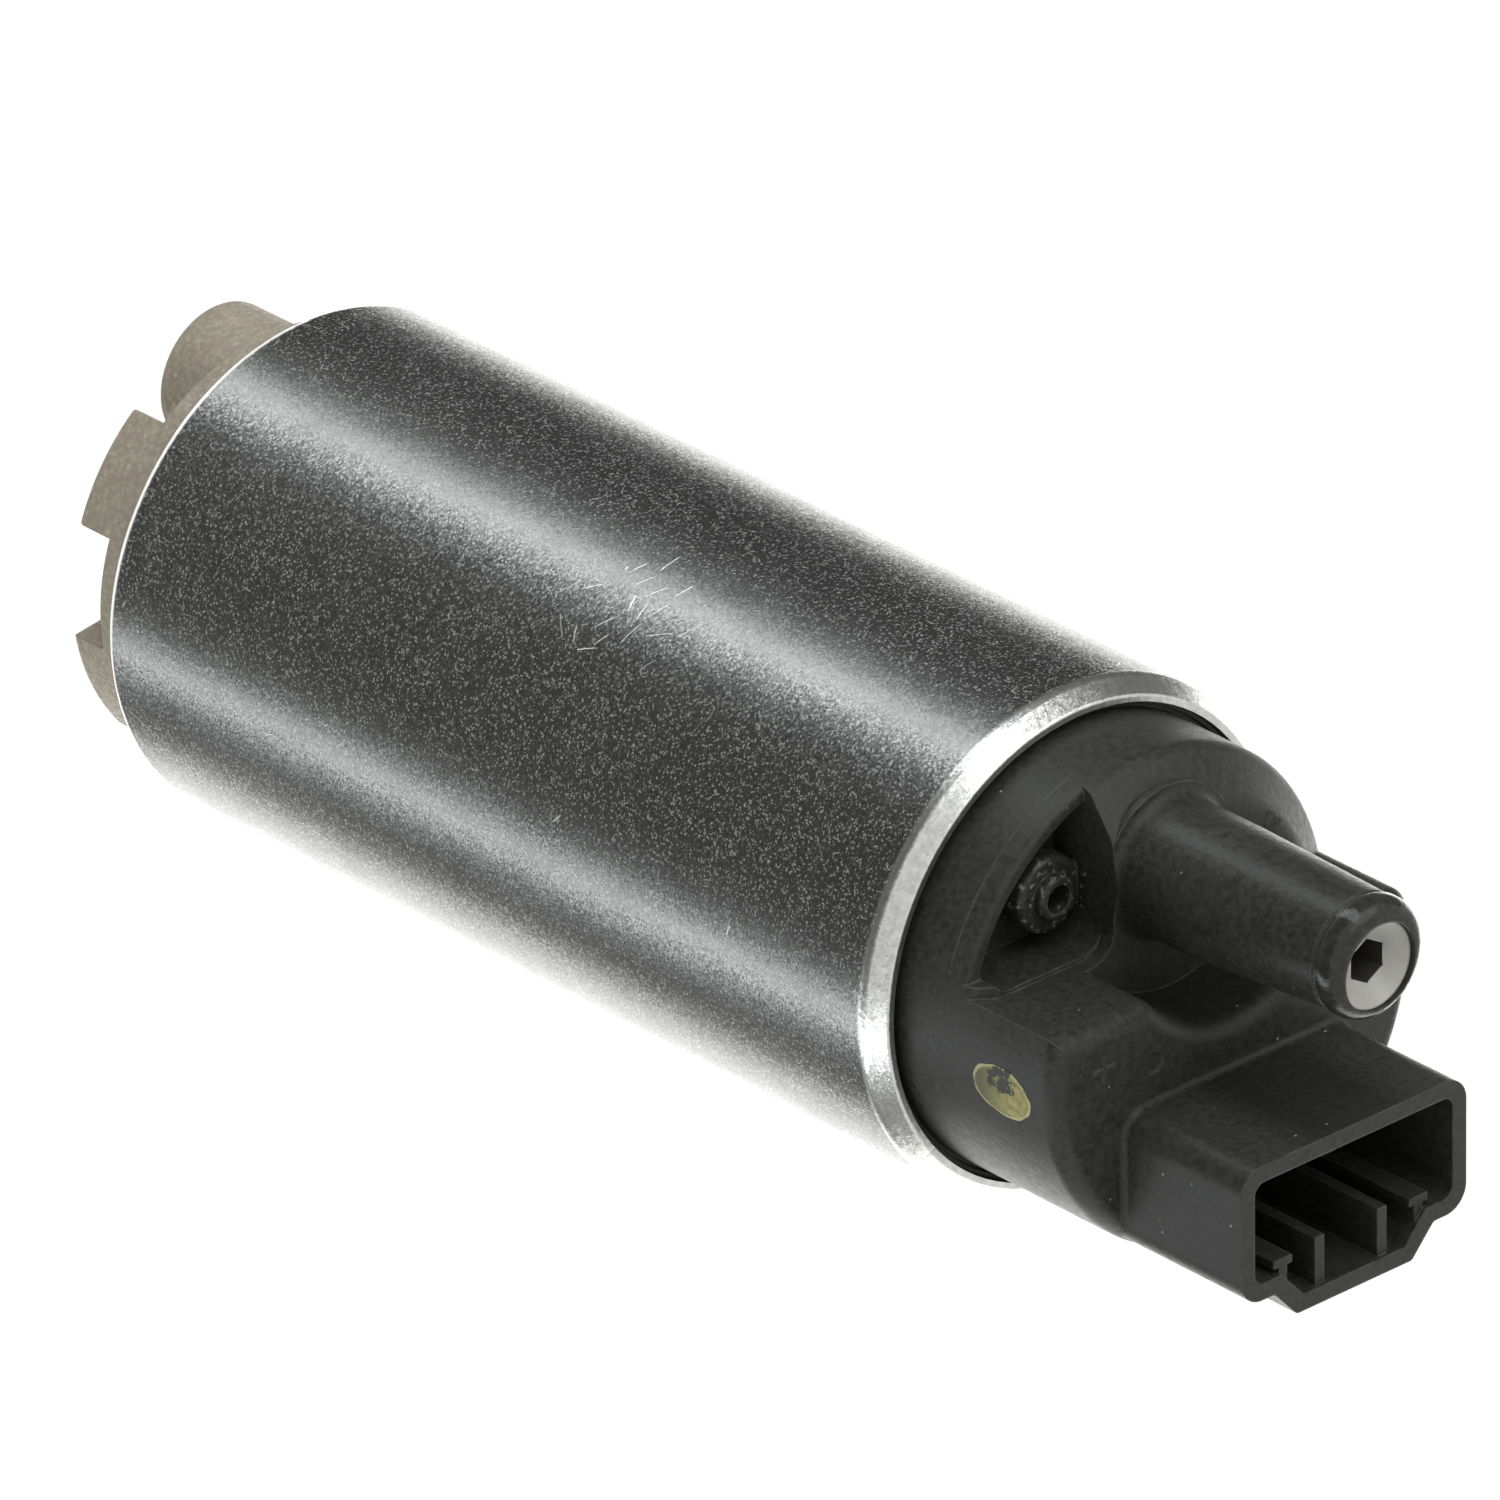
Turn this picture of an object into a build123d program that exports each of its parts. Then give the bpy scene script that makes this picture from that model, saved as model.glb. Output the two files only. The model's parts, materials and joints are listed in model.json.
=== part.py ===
from build123d import *
from math import cos, degrees, radians, sin, sqrt
import os

# In-tank electric fuel pump of the turbine kind, built as it comes apart on a bench.
# Millimetres. The pump's axis is +Z with the outlet up, the plug socket is on the -Y side
# and the outlet nozzle on the +Y side. Z is 0 where the can's straight wall begins.

# Clearances
seat_gap = 0.03  # round pieces that are pressed or moulded into each other
running_gap = 0.04  # shaft in its bushes
slide_gap = 0.08  # brushes in their boxes, valve guides in their holes
face_gap = 0.05  # moving faces that rest on fixed ones
magnet_gap = 0.6  # armature to magnets

# How far a cutter runs past the face that it opens, and a joined piece into its neighbour
cut_over = 0.2
near = 0.001  # how close an edge lies to the height by which it is picked

# Can: steel tube, rolled in at the inlet end, crimped over the end cover at the outlet end
can_r = 19.0
can_wall = 1.5
can_length = 80.0
rim_roll = 1.0  # radius of the rolled inlet rim
lip_t = 1.15  # thickness of the can where it is turned over the covers
lip_in = 2.15  # the can's outside to the inlet lip's inner edge
end_wall = 1.1  # wall where the ends are counterbored
crimp_drop = 1.4  # height of the outlet bevel
crimp_in = 1.1  # how far the bevel leans in
crimp_lip_in = 1.6  # the can's outside to the outlet lip's inner edge
crimp_round = 0.8
crimp_edge_round = 0.3

# Inlet cover: moulded, with the strainer boss and a broken rim of castellations
cover_body_gap = 0.05  # body to the inlet lip
cover_body_h = 3.0  # body that stands out of the can
cover_flange_h = 4.85
rim_tooth_h = 3.6
rim_tooth_t = 2.6
rim_tooth_angle = 31.0
rim_tooth_places = 6
rim_gap_at = 84.0  # the boss takes one tooth's place
rim_tooth_round = 0.8
boss_edge = 0.2  # boss to the body's edge
boss_r = 5.5
boss_h = 6.5  # below the body's face
boss_bore_r = 3.3
boss_round = 0.5
dish_edge = 2.4  # teeth to the ribbed hollow in the outer face
dish_depth = 1.8
dish_hub_r = 4.6
dish_rib_t = 1.3
dish_ribs = 6
dish_first_rib = 30.0
boss_collar = 0.9  # left round the boss in the hollow
vent_r = 0.75
vent_angle = 173.0

# Impeller and its casing
casing_wall = 2.72  # round the impeller
impeller_t = 3.8
impeller_side_gap = 0.15
cell_edge = 0.8  # closed rim outside the cells
cell_depth = 1.9
cell_count = 36
vane_t = 0.75
channel_over_in = 0.3  # channel past the cells, towards the axis
channel_over_out = 0.4  # channel past the cells, outwards
channel_depth = 1.2
channel_start = 76.0
channel_sweep = 318.0
port_sweep = 22.0
casing_h = 7.0
casing_hub_r = 6.0

# Shaft, bushes and thrust pieces
shaft_r = 2.0
shaft_flat_x = 1.5
shaft_end_round = 0.5
shaft_hole_gap = 0.4
flat_start = 1.5  # shaft's end to the flat
flat_over = 0.2
shaft_over = 0.5  # above the upper bush
thrust_pin_down = 2.5  # below the inlet cover's top
thrust_pin_r = 2.4
thrust_pin_t = 0.9
bush_r = 4.0
lower_bush_length = 5.8
lower_bush_up = 0.3  # above the impeller chamber
upper_bush_r = 3.6
upper_bush_length = 5.0
washer_r = 3.4
washer_t = 0.8
washer_gap = 0.1

# Armature
magnet_t = 4.57
lower_space = 8.0  # casing to core
upper_space = 19.0  # core to the can's upper shoulder
slot_count = 8
slot_in_r = 5.2
slot_edge = 1.2  # slots to the core's outside
slot_in_w = 2.2
slot_out_w = 5.6
slot_mouth_w = 1.5
slot_mouth_in = 0.5  # the mouth's start inside the slot
wire_gap = 0.1
insulator_t = 0.8
insulator_in = 0.6  # smaller than the core
insulator_hub_r = 3.9
end_turn_h = 3.6
end_turn_round = 1.2
commutator_base_r = 10.2
commutator_base_h = 3.5
commutator_hub_r = 3.6
commutator_rise = 10.5  # core to the running face
segment_out_r = 10.0
segment_t = 2.0
segment_count = 8
segment_gap = 0.6
hook_w = 1.2
hook_out = 0.7
hook_down = 0.6
hook_root = 0.5

# Magnets and their clips
magnet_angle = 128.0
magnet_over = 1.0  # magnets longer than the core at each end
clip_t = 0.4
clip_length = 22.0
clip_leg_in = 2.0  # legs end outside the magnets' inner radius
clip_side_angle = 0.6
clip_angles = (90.0, 270.0)

# Bearing holder: carries the upper bush, the brush boxes and the chokes
holder_rim_h = 2.0
holder_plate_t = 2.0
holder_drop = 3.6  # plate below the can's upper shoulder
holder_skirt_t = 1.4
holder_hub_wall = 1.3
bush_rise = 2.5  # running face to the upper bush
window_edge = 1.47  # windows to the skirt
window_w = 3.6
window_sweep = 34.0
window_angles = (60.0, 120.0, 180.0, 0.0)
brush_x = 7.3
brush_w = 4.4
brush_d = 6.0
brush_length = 11.0
brush_chamfer = 0.3
box_wall = 1.0
box_up = 17.5  # running face to the top of the brush boxes
box_down = 0.8  # running face to the bottom of the brush boxes
spring_seat_up = 2.0  # brush boxes to the seats of the brush springs
spring_seat_r = 2.0
spring_peg_r = 0.8
spring_peg_h = 2.5
brush_spring_r = 1.3
brush_spring_wire_r = 0.2
brush_spring_turns = 7
brush_spring_y = 0.9

# Pigtails
pigtail_r = 0.45
pigtail_y = -2.1
pigtail_over = 0.3  # above the spring's seat
pigtail_drop = 4.8
pigtail_bend = 1.2
pigtail_end_bend = 0.6
pigtail_off_box = 0.4
pigtail_end_fall = 0.2

# Chokes and terminals
choke_x = 7.0
choke_off = 0.55  # choke's axis to the blade's middle
choke_core_r = 1.5
choke_length = 15.0
choke_wire_r = 0.35
choke_turns = 9
choke_pitch = 1.0
choke_start = 3.2  # above the holder's rim
cup_wall = 0.7
cup_h = 2.0
blade_x = 4.0
blade_in = 6.45  # the socket's lowest side to the blade's middle
blade_w = 2.3
blade_t = 0.64
blade_up = 6.5  # above the socket floor
blade_point = 0.5
tab_t = 0.8
tab_reach = 1.5  # past the choke's centre
tab_w = 2.4

# End cover: moulded, black
flange_down = 0.6  # top of the flange below the can's end
skirt_h = 9.4
cover_wall = 1.5
groove_w = 0.35
groove_depth = 0.5
drum_in = 0.7  # the outlet lip to the drum
drum_h = 6.8  # flange to the outer edge of the drum
deck_h = 9.2  # flange to the deck round the nozzle
deck_slope_w = 3.1  # the drum's edge to the flat deck
deck_round = 2.0
drum_round = 1.2
block_h = 15.8  # flange to the top of the tall block
block_y = 4.0
block_corner = 1.4
block_round = 1.3
block_roof = 3.5
recess_w = 4.35  # free ring round the nozzle's root
seal_r = 0.6
seal_down = 4.5  # below the flange's top
seal_squeeze = 0.05
seal_side_gap = 0.15

# Pocket with the relief valve's boss
pocket_off_nozzle = 0.1
pocket_ledge_w = 0.3  # between the tall block and the pocket
pocket_rim_t = 1.0  # wall between the pocket and the drum's outside
pocket_rim_h = 6.3  # flange to the pocket's outer rim
pocket_rim_round = 0.5
pocket_floor_h = 3.1
pocket_corner = 1.8
pocket_far_corner = 1.0
pocket_ledge_h = 8.0  # flange to the ledge along the tall block
pocket_wall = 1.2
relief_in_x = 2.45  # the pocket's walls to the relief valve's axis
relief_in_y = 4.0
relief_step_r = 2.9
relief_step_h = 2.5
relief_top_r = 1.65
relief_top_h = 3.3
relief_step_round = 0.5
relief_top_round = 0.35
relief_vent_r = 1.05
relief_chamber_r = 2.0
relief_roof = 0.7  # between the chamber and the pocket's floor
relief_tube_wall = 0.8
relief_seat_r = 2.6
relief_seat_h = 2.5
relief_seat_bore_r = 1.2
relief_ball_r = 1.75
relief_chamber_h = 4.9
relief_spring_r = 1.35
relief_spring_wire_r = 0.15
relief_spring_turns = 3

# Outlet nozzle, check valve and its retainer
nozzle_in = 7.3  # the drum's outside to the nozzle's axis
nozzle_r = 4.95
nozzle_straight = 5.9
nozzle_taper_h = 12.5
nozzle_end_r = 4.35
nozzle_lean = 0.4  # the tapered body's end is further out than its root
nozzle_root_round = 0.8
nozzle_foot = 1.0  # foot wider than the spigot
nozzle_root = 0.5  # sunk into the deck
neck_slope = 0.15
neck_down = 0.2  # neck smaller than the tapered end
neck_h = 0.45
bead_r = 4.45
bead_h = 1.85
bead_round = 1.3
bead_under_round = 0.25
outlet_bore_r = 2.85
throat_r = 1.8
throat_tube_h = 3.0  # inside the cover
valve_floor_h = 6.9  # above the deck
poppet_head_r = 2.3
poppet_head_t = 1.0
poppet_boss_r = 1.1
poppet_boss_h = 1.2
poppet_guide_h = 4.5
poppet_fin_t = 0.9
poppet_stem_r = 0.8
poppet_head_round = 0.2
valve_seal_over = 0.1  # larger than the poppet's head
valve_seal_t = 0.8
valve_spring_r = 1.75
valve_spring_wire_r = 0.18
valve_spring_turns = 4
retainer_h = 6.2
retainer_head_r = 3.2
retainer_head_t = 1.2
retainer_hex_r = 1.68
retainer_down = 0.5  # below the nozzle's tip
retainer_dish_edge = 0.12
retainer_dish_depth = 0.9
retainer_dish_in_r = 1.6

# Plug socket: shroud with two ribs and two hooked keys
socket_h = 11.5  # above the block's top
socket_x = 10.45
socket_in = 0.7  # the drum's outside to the socket's lowest side
socket_off_recess = 3.6  # the recess to the socket's top side
socket_bulge_d = 2.25
socket_step_x = 7.4
socket_bulge_x = 5.35
socket_slope = 0.55  # share of the wall by which the slanted sides move inwards
socket_step_corner = 0.5
socket_in_step_corner = 0.4
socket_root = 1.0  # sunk into the block
socket_root_round = 0.5
socket_wall = 1.25
socket_corner = 1.9
socket_in_corner = 0.9
socket_floor_down = 1.7  # below the block's top
socket_rib_x = 2.9
socket_rib_t = 0.85
socket_rib_h = 4.9  # from the socket's lowest side
key_x = 6.3
key_t = 0.75
key_h = 2.25  # from the foot beside the bulge
key_head_w = 1.7
key_head_t = 0.6
rib_back = 0.35  # ribs stop below the mouth

# Moulded marks: polarity signs and an ejector dimple
mark_x = 12.2
mark_in = 3.3  # the block's front to the signs
mark_size = 2.0
mark_w = 0.4
mark_h = 0.15
dimple_x = -7.55
dimple_in = 4.5  # the block's front to the dimple
dimple_r = 0.75
dimple_depth = 0.2
tick_in = 0.9  # the deck's edge to the ticks' inner ends
tick_length = 1.1
tick_w = 0.22
tick_h = 0.1
tick_angles = (45.0, 41.2)

# Heights along the axis that follow from the sizes above
lip_r = can_r - lip_in
crimp_lip_r = can_r - crimp_lip_in
cover_body_r = lip_r - cover_body_gap
boss_y = cover_body_r - boss_r - boss_edge
dish_r = cover_body_r - rim_tooth_t - dish_edge
can_bottom = -rim_roll
can_top = can_bottom + can_length
cover_bottom = can_bottom - cover_body_h
flange_bottom = can_bottom + lip_t
cover_top = flange_bottom + cover_flange_h
lower_shoulder = cover_top + casing_h
flange_top = can_top - flange_down
upper_shoulder = flange_top - skirt_h - holder_rim_h
skirt_bottom = upper_shoulder + holder_rim_h
counterbore_r = can_r - end_wall
can_bore_r = can_r - can_wall
plan_cut = 4 * can_r  # side of the squares that cut a plan off
piece_r = counterbore_r - seat_gap
impeller_r = piece_r - casing_wall - impeller_side_gap
cell_out_r = impeller_r - cell_edge
cell_in_r = cell_out_r - cell_depth
channel_out_r = cell_out_r + channel_over_out
channel_in_r = cell_in_r - channel_over_in
core_r = can_bore_r - seat_gap - magnet_t - magnet_gap
slot_out_r = core_r - slot_edge
window_out_r = can_bore_r - seat_gap - holder_skirt_t - window_edge
window_in_r = window_out_r - window_w
chamber_top = cover_top + impeller_t + 2 * face_gap
core_bottom = lower_shoulder + lower_space
core_top = upper_shoulder - upper_space
run_face = core_top + commutator_rise
bush_bottom = chamber_top + lower_bush_up
bush_top = bush_bottom + lower_bush_length
upper_bush_bottom = run_face + bush_rise
upper_bush_top = upper_bush_bottom + upper_bush_length
thrust_top = cover_top - thrust_pin_down
box_top = run_face + box_up
spring_seat_z = box_top + spring_seat_up
brush_bottom = run_face + face_gap
brush_top = brush_bottom + brush_length
drum_r = crimp_lip_r - drum_in
deck_r = drum_r - deck_slope_w
tick_in_r = deck_r - tick_in
nozzle_y = drum_r - nozzle_in
recess_r = nozzle_r + recess_w
pocket_r = drum_r - pocket_rim_t
pocket_x = -nozzle_r - pocket_off_nozzle
pocket_y = block_y + pocket_ledge_w
relief_x = pocket_x - relief_in_x
relief_y = pocket_y + relief_in_y
socket_bulge_y = socket_in - drum_r
socket_foot_y = socket_bulge_y + socket_bulge_d
socket_top_y = nozzle_y - recess_r - socket_off_recess
socket_rib_up_y = socket_bulge_y + socket_rib_h
key_up_y = socket_foot_y + key_h
blade_y = socket_bulge_y + blade_in
choke_y = blade_y + choke_off
mark_y = block_y - mark_in
dimple_y = block_y - dimple_in
drum_edge_z = flange_top + drum_h
deck_z = flange_top + deck_h
block_top = flange_top + block_h
mouth_z = block_top + socket_h
socket_floor = block_top - socket_floor_down
block_ceiling = block_top - block_roof
deck_ceiling = deck_z - cover_wall
inner_r = drum_r - cover_wall
throat_tube_bottom = deck_ceiling - throat_tube_h
pocket_floor = flange_top + pocket_floor_h
pocket_rim = flange_top + pocket_rim_h
pocket_ledge = flange_top + pocket_ledge_h
relief_roof_z = pocket_floor - relief_roof
relief_seat_top = relief_roof_z - relief_chamber_h
nozzle_cone_z = deck_z + nozzle_straight
nozzle_end_z = nozzle_cone_z + nozzle_taper_h
neck_r = nozzle_end_r - neck_down
bead_z = nozzle_end_z + neck_h
tip_z = bead_z + bead_h
valve_floor = deck_z + valve_floor_h
retainer_top = tip_z - retainer_down
retainer_bottom = retainer_top - retainer_h
choke_top = skirt_bottom + choke_length
thrust_bottom = thrust_top - thrust_pin_t


def turned(points, rounds=()):
    """Solid of revolution about Z from (radius, height) points, with some corners rounded."""
    face = make_face(Polyline(*points, close=True))
    for corner, radius in rounds:
        vertex = face.vertices().sort_by_distance((corner[0], corner[1], 0))[0]
        face = fillet(vertex, radius)
    return revolve(Plane.XZ * face, Axis.Z)


def rod(radius, bottom, top, x=0.0, y=0.0):
    """Upright cylinder between two heights."""
    solid = Cylinder(radius, top - bottom, align=(Align.CENTER, Align.CENTER, Align.MIN))
    return Pos(x, y, bottom) * solid


def tube(outer, inner, bottom, top, x=0.0, y=0.0):
    """Upright tube between two heights."""
    return rod(outer, bottom, top, x, y) - rod(inner, bottom, top, x, y)


def block(x_low, x_high, y_low, y_high, z_low, z_high):
    """Box between two corners."""
    solid = Box(x_high - x_low, y_high - y_low, z_high - z_low)
    return Pos((x_low + x_high) / 2, (y_low + y_high) / 2, (z_low + z_high) / 2) * solid


def sector(inner, outer, start, sweep):
    """Flat ring sector, angles in degrees from +X."""
    stop = start + sweep
    middle = start + sweep / 2

    def at(radius, angle):
        return (radius * cos(radians(angle)), radius * sin(radians(angle)))

    edges = [
        ThreePointArc(at(outer, start), at(outer, middle), at(outer, stop)),
        Line(at(outer, stop), at(inner, stop)),
        ThreePointArc(at(inner, stop), at(inner, middle), at(inner, start)),
        Line(at(inner, start), at(outer, start)),
    ]
    return make_face(edges)


def prism(face, bottom, top):
    """Face extruded between two heights."""
    return extrude(Pos(0, 0, bottom) * face, top - bottom)


def coil_spring(radius, wire, turns, bottom, top, x, y):
    """Round-wire spring whose end coils touch both heights."""
    height = top - bottom - 2 * wire
    path = Helix(pitch=height / turns, height=height, radius=radius)
    start = Plane(origin=path @ 0, z_dir=path % 0)
    wire_solid = sweep(start * Circle(wire), path=path, is_frenet=True)
    return Pos(x, y, bottom + wire) * wire_solid


def edges_at(solid, height):
    """Edges that lie at one height."""
    return solid.edges().filter_by_position(Axis.Z, height - near, height + near)


def round_top(solid, height, radius):
    """Rounds the outer edges that lie at one height."""
    return fillet(edges_at(solid, height), radius)


# Can and inlet side


def housing_can():
    """Drawn tube with a counterbore at each end, its thinned ends turned over the covers."""
    bevel_z = can_top - crimp_drop
    bevel_r = can_r - crimp_in
    inner_slope_z = flange_top - (counterbore_r - crimp_lip_r)
    points = [
        (lip_r, can_bottom),
        (can_r, can_bottom),
        (can_r, bevel_z),
        (bevel_r, can_top),
        (crimp_lip_r, can_top),
        (crimp_lip_r, flange_top + face_gap),
        (counterbore_r, inner_slope_z + face_gap),
        (counterbore_r, upper_shoulder),
        (can_bore_r, upper_shoulder),
        (can_bore_r, lower_shoulder),
        (counterbore_r, lower_shoulder),
        (counterbore_r, flange_bottom),
        (lip_r, flange_bottom),
    ]
    rounds = [
        ((can_r, can_bottom), rim_roll),
        ((can_r, bevel_z), crimp_round),
        ((bevel_r, can_top), crimp_edge_round),
    ]
    return turned(points, rounds)


def channel(bottom, top):
    """Side channel of the turbine, from the inlet round to the outlet port."""
    return prism(sector(channel_in_r, channel_out_r, channel_start, channel_sweep), bottom, top)


def rim_space(after, before):
    """Space between two castellations of the inlet cover, counted from the boss's place."""
    pitch = 360 / rim_tooth_places
    start = rim_gap_at + after * pitch + rim_tooth_angle / 2
    sweep = (before - after) * pitch - rim_tooth_angle
    inner = cover_body_r - rim_tooth_t - cut_over
    face = sector(inner, cover_body_r + cut_over, start, sweep)
    return prism(face, cover_bottom - rim_tooth_h - cut_over, cover_bottom)


def inlet_cover():
    """Cover with the strainer boss, the castellated rim, the side channel and the vapour vent."""
    rim_bottom = cover_bottom - rim_tooth_h
    tooth_in_r = cover_body_r - rim_tooth_t
    body = turned([
        (0, cover_bottom),
        (tooth_in_r, cover_bottom),
        (tooth_in_r, rim_bottom),
        (cover_body_r, rim_bottom),
        (cover_body_r, flange_bottom),
        (piece_r, flange_bottom),
        (piece_r, cover_top),
        (0, cover_top),
    ])
    for index in range(1, rim_tooth_places - 1):
        body -= rim_space(index, index + 1)
    body -= rim_space(-1, 1)
    body = round_top(body, rim_bottom, rim_tooth_round)
    hollow = rod(dish_r, cover_bottom, cover_bottom + dish_depth)
    hollow -= rod(dish_hub_r, cover_bottom, cover_bottom + dish_depth)
    for index in range(dish_ribs):
        rib = block(0, dish_r, -dish_rib_t / 2, dish_rib_t / 2, cover_bottom, cover_bottom + dish_depth)
        hollow -= Rot(0, 0, index * 360 / dish_ribs + dish_first_rib) * rib
    hollow -= rod(boss_r + boss_collar, cover_bottom, cover_bottom + dish_depth, 0, boss_y)
    body -= hollow
    boss = rod(boss_r, cover_bottom - boss_h, flange_bottom, 0, boss_y)
    boss = round_top(boss, cover_bottom - boss_h, boss_round)
    body += boss
    body -= rod(boss_bore_r, cover_bottom - boss_h, cover_top - channel_depth, 0, boss_y)
    body -= channel(cover_top - channel_depth, cover_top)
    vent_at = (channel_in_r + channel_out_r) / 2
    vent_x = vent_at * cos(radians(vent_angle))
    vent_y = vent_at * sin(radians(vent_angle))
    body -= rod(vent_r, cover_bottom, cover_top, vent_x, vent_y)
    body -= rod(thrust_pin_r + seat_gap, thrust_bottom, cover_top)
    return body


def pump_casing():
    """Upper half of the turbine chamber, with the bush hub and the outlet port."""
    body = rod(piece_r, cover_top, lower_shoulder)
    body += rod(casing_hub_r, lower_shoulder, bush_top)
    body -= rod(impeller_r + impeller_side_gap, cover_top, chamber_top)
    body -= channel(chamber_top, chamber_top + channel_depth)
    port_start = channel_start + channel_sweep - port_sweep
    port = sector(channel_in_r, channel_out_r, port_start, port_sweep)
    body -= prism(port, chamber_top, lower_shoulder)
    body -= rod(bush_r + seat_gap, bush_bottom, bush_top)
    body -= rod(shaft_r + shaft_hole_gap, chamber_top, bush_bottom)
    return body


def flatted(radius, flat_x, bottom, top):
    """Round bar with one flat."""
    bar = rod(radius, bottom, top)
    return bar - block(flat_x, radius + 1, -radius - 1, radius + 1, bottom, top)


def impeller():
    """Closed-rim turbine wheel with vane pockets and a D-shaped bore."""
    bottom = cover_top + face_gap
    top = bottom + impeller_t
    body = rod(impeller_r, bottom, top)
    pitch_r = (cell_in_r + cell_out_r) / 2
    cell_sweep = 360 / cell_count - degrees(vane_t / pitch_r)
    cell = prism(sector(cell_in_r, cell_out_r, -cell_sweep / 2, cell_sweep), bottom, top)
    cells = [Rot(0, 0, index * 360 / cell_count) * cell for index in range(cell_count)]
    body -= cells
    body -= flatted(shaft_r + seat_gap, shaft_flat_x + seat_gap, bottom, top)
    return body


def shaft():
    """Ground steel shaft, flatted where it drives the impeller."""
    bottom = thrust_top + face_gap
    bar = rod(shaft_r, bottom, upper_bush_top + shaft_over)
    bar = round_top(bar, bottom, shaft_end_round)
    flat_top = chamber_top + flat_over
    bar -= block(shaft_flat_x, shaft_r + 1, -shaft_r - 1, shaft_r + 1, bottom + flat_start, flat_top)
    return bar


# Armature


def slot_face(inset):
    """One armature slot, narrowed all round by the inset."""
    inner = slot_in_r + inset
    outer = slot_out_r - inset
    half_in = slot_in_w / 2 - inset
    half_out = slot_out_w / 2 - inset
    return make_face(
        Polyline((inner, -half_in), (outer, -half_out), (outer, half_out), (inner, half_in), close=True)
    )


def around(solid, count):
    """Copies of a solid, evenly spaced about the axis."""
    return [Rot(0, 0, index * 360 / count) * solid for index in range(count)]


def armature_core():
    """Stack of slotted laminations."""
    body = tube(core_r, shaft_r + seat_gap, core_bottom, core_top)
    slot = prism(slot_face(0), core_bottom, core_top)
    mouth_half = slot_mouth_w / 2
    slot += block(slot_out_r - slot_mouth_in, core_r + 1, -mouth_half, mouth_half, core_bottom, core_top)
    return body - around(slot, slot_count)


def insulator(plate_bottom, hub_bottom, hub_top):
    """End plate with the slots' outline and a hub on the shaft."""
    body = rod(core_r - insulator_in, plate_bottom, plate_bottom + insulator_t)
    body += rod(insulator_hub_r, hub_bottom, hub_top)
    slot = prism(slot_face(0), plate_bottom, plate_bottom + insulator_t)
    slot += block(slot_out_r - slot_mouth_in, core_r, -slot_mouth_w / 2, slot_mouth_w / 2,
                  plate_bottom, plate_bottom + insulator_t)
    body -= around(slot, slot_count)
    return body - rod(shaft_r + seat_gap, hub_bottom, hub_top)


def armature_insulators():
    """Two moulded end insulators, one solid at each end of the core."""
    lower = insulator(core_bottom - insulator_t, bush_top + washer_gap + washer_t, core_bottom)
    upper = insulator(core_top, core_top, run_face - segment_t - commutator_base_h)
    return Compound(children=[lower, upper])


def armature_windings():
    """Enamelled copper bundles in the slots, joined by the end turns."""
    turn_in = insulator_hub_r + 2 * wire_gap
    turn_out = slot_out_r - wire_gap
    rings = []
    low_end = core_bottom - insulator_t
    high_end = core_top + insulator_t
    for start, stop in ((low_end - end_turn_h, low_end), (high_end, high_end + end_turn_h)):
        far = start if start < core_bottom else stop
        points = [(turn_in, start), (turn_out, start), (turn_out, stop), (turn_in, stop)]
        rounds = [((turn_in, far), end_turn_round), ((turn_out, far), end_turn_round)]
        rings.append(turned(points, rounds))
    bundle = prism(slot_face(wire_gap), low_end, high_end)
    return rings[0] + around(bundle, slot_count) + rings[1]


def commutator_base():
    """Moulded carrier of the commutator segments."""
    base_top = run_face - segment_t
    body = rod(commutator_base_r, base_top - commutator_base_h, base_top)
    body += rod(commutator_hub_r, base_top, upper_bush_bottom - washer_gap - washer_t)
    return body - rod(shaft_r + seat_gap, base_top - commutator_base_h, upper_bush_bottom)


def commutator_segments():
    """Flat-faced segments with wire hooks at their rim."""
    base_top = run_face - segment_t
    inner = commutator_hub_r + seat_gap
    gap_angle = degrees(segment_gap / ((inner + segment_out_r) / 2))
    sweep_angle = 360 / segment_count - gap_angle
    body = prism(sector(inner, segment_out_r, -sweep_angle / 2, sweep_angle), base_top, run_face)
    hook_top = run_face - hook_down
    body += block(segment_out_r - hook_root, segment_out_r + hook_out, -hook_w / 2, hook_w / 2,
                  base_top, hook_top)
    return Compound(children=around(body, segment_count))


def thrust_washers():
    """Two washers on the shaft, one against each bush."""
    lower = tube(washer_r, shaft_r + seat_gap, bush_top + washer_gap, bush_top + washer_gap + washer_t)
    high = upper_bush_bottom - washer_gap
    upper = tube(washer_r, shaft_r + seat_gap, high - washer_t, high)
    return Compound(children=[lower, upper])


# Magnets


def magnet(centre):
    """Ferrite arc against the can's bore."""
    face = sector(core_r + magnet_gap, can_bore_r - seat_gap, centre - magnet_angle / 2, magnet_angle)
    return prism(face, core_bottom - magnet_over, core_top + magnet_over)


def magnet_clips():
    """Two bowed spring-steel clips that hold the magnets apart."""
    middle = (core_bottom + core_top) / 2
    reach = can_bore_r - seat_gap
    gap_half = (180 - magnet_angle) / 2
    edge_r = core_r + magnet_gap + clip_leg_in
    leg_sweep = degrees(clip_t / edge_r)
    clips = []
    for centre in clip_angles:
        bow = sector(reach - clip_t, reach, centre - gap_half + clip_side_angle,
                     2 * (gap_half - clip_side_angle))
        low = middle - clip_length / 2
        high = middle + clip_length / 2
        clip = prism(bow, low, high)
        for side in (-1, 1):
            leg_at = centre + side * (gap_half - clip_side_angle - leg_sweep / 2) - leg_sweep / 2
            clip += prism(sector(edge_r, reach, leg_at, leg_sweep), low, high)
        clips.append(clip)
    return Compound(children=clips)


# Bearing holder, brushes and electrical pieces


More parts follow.
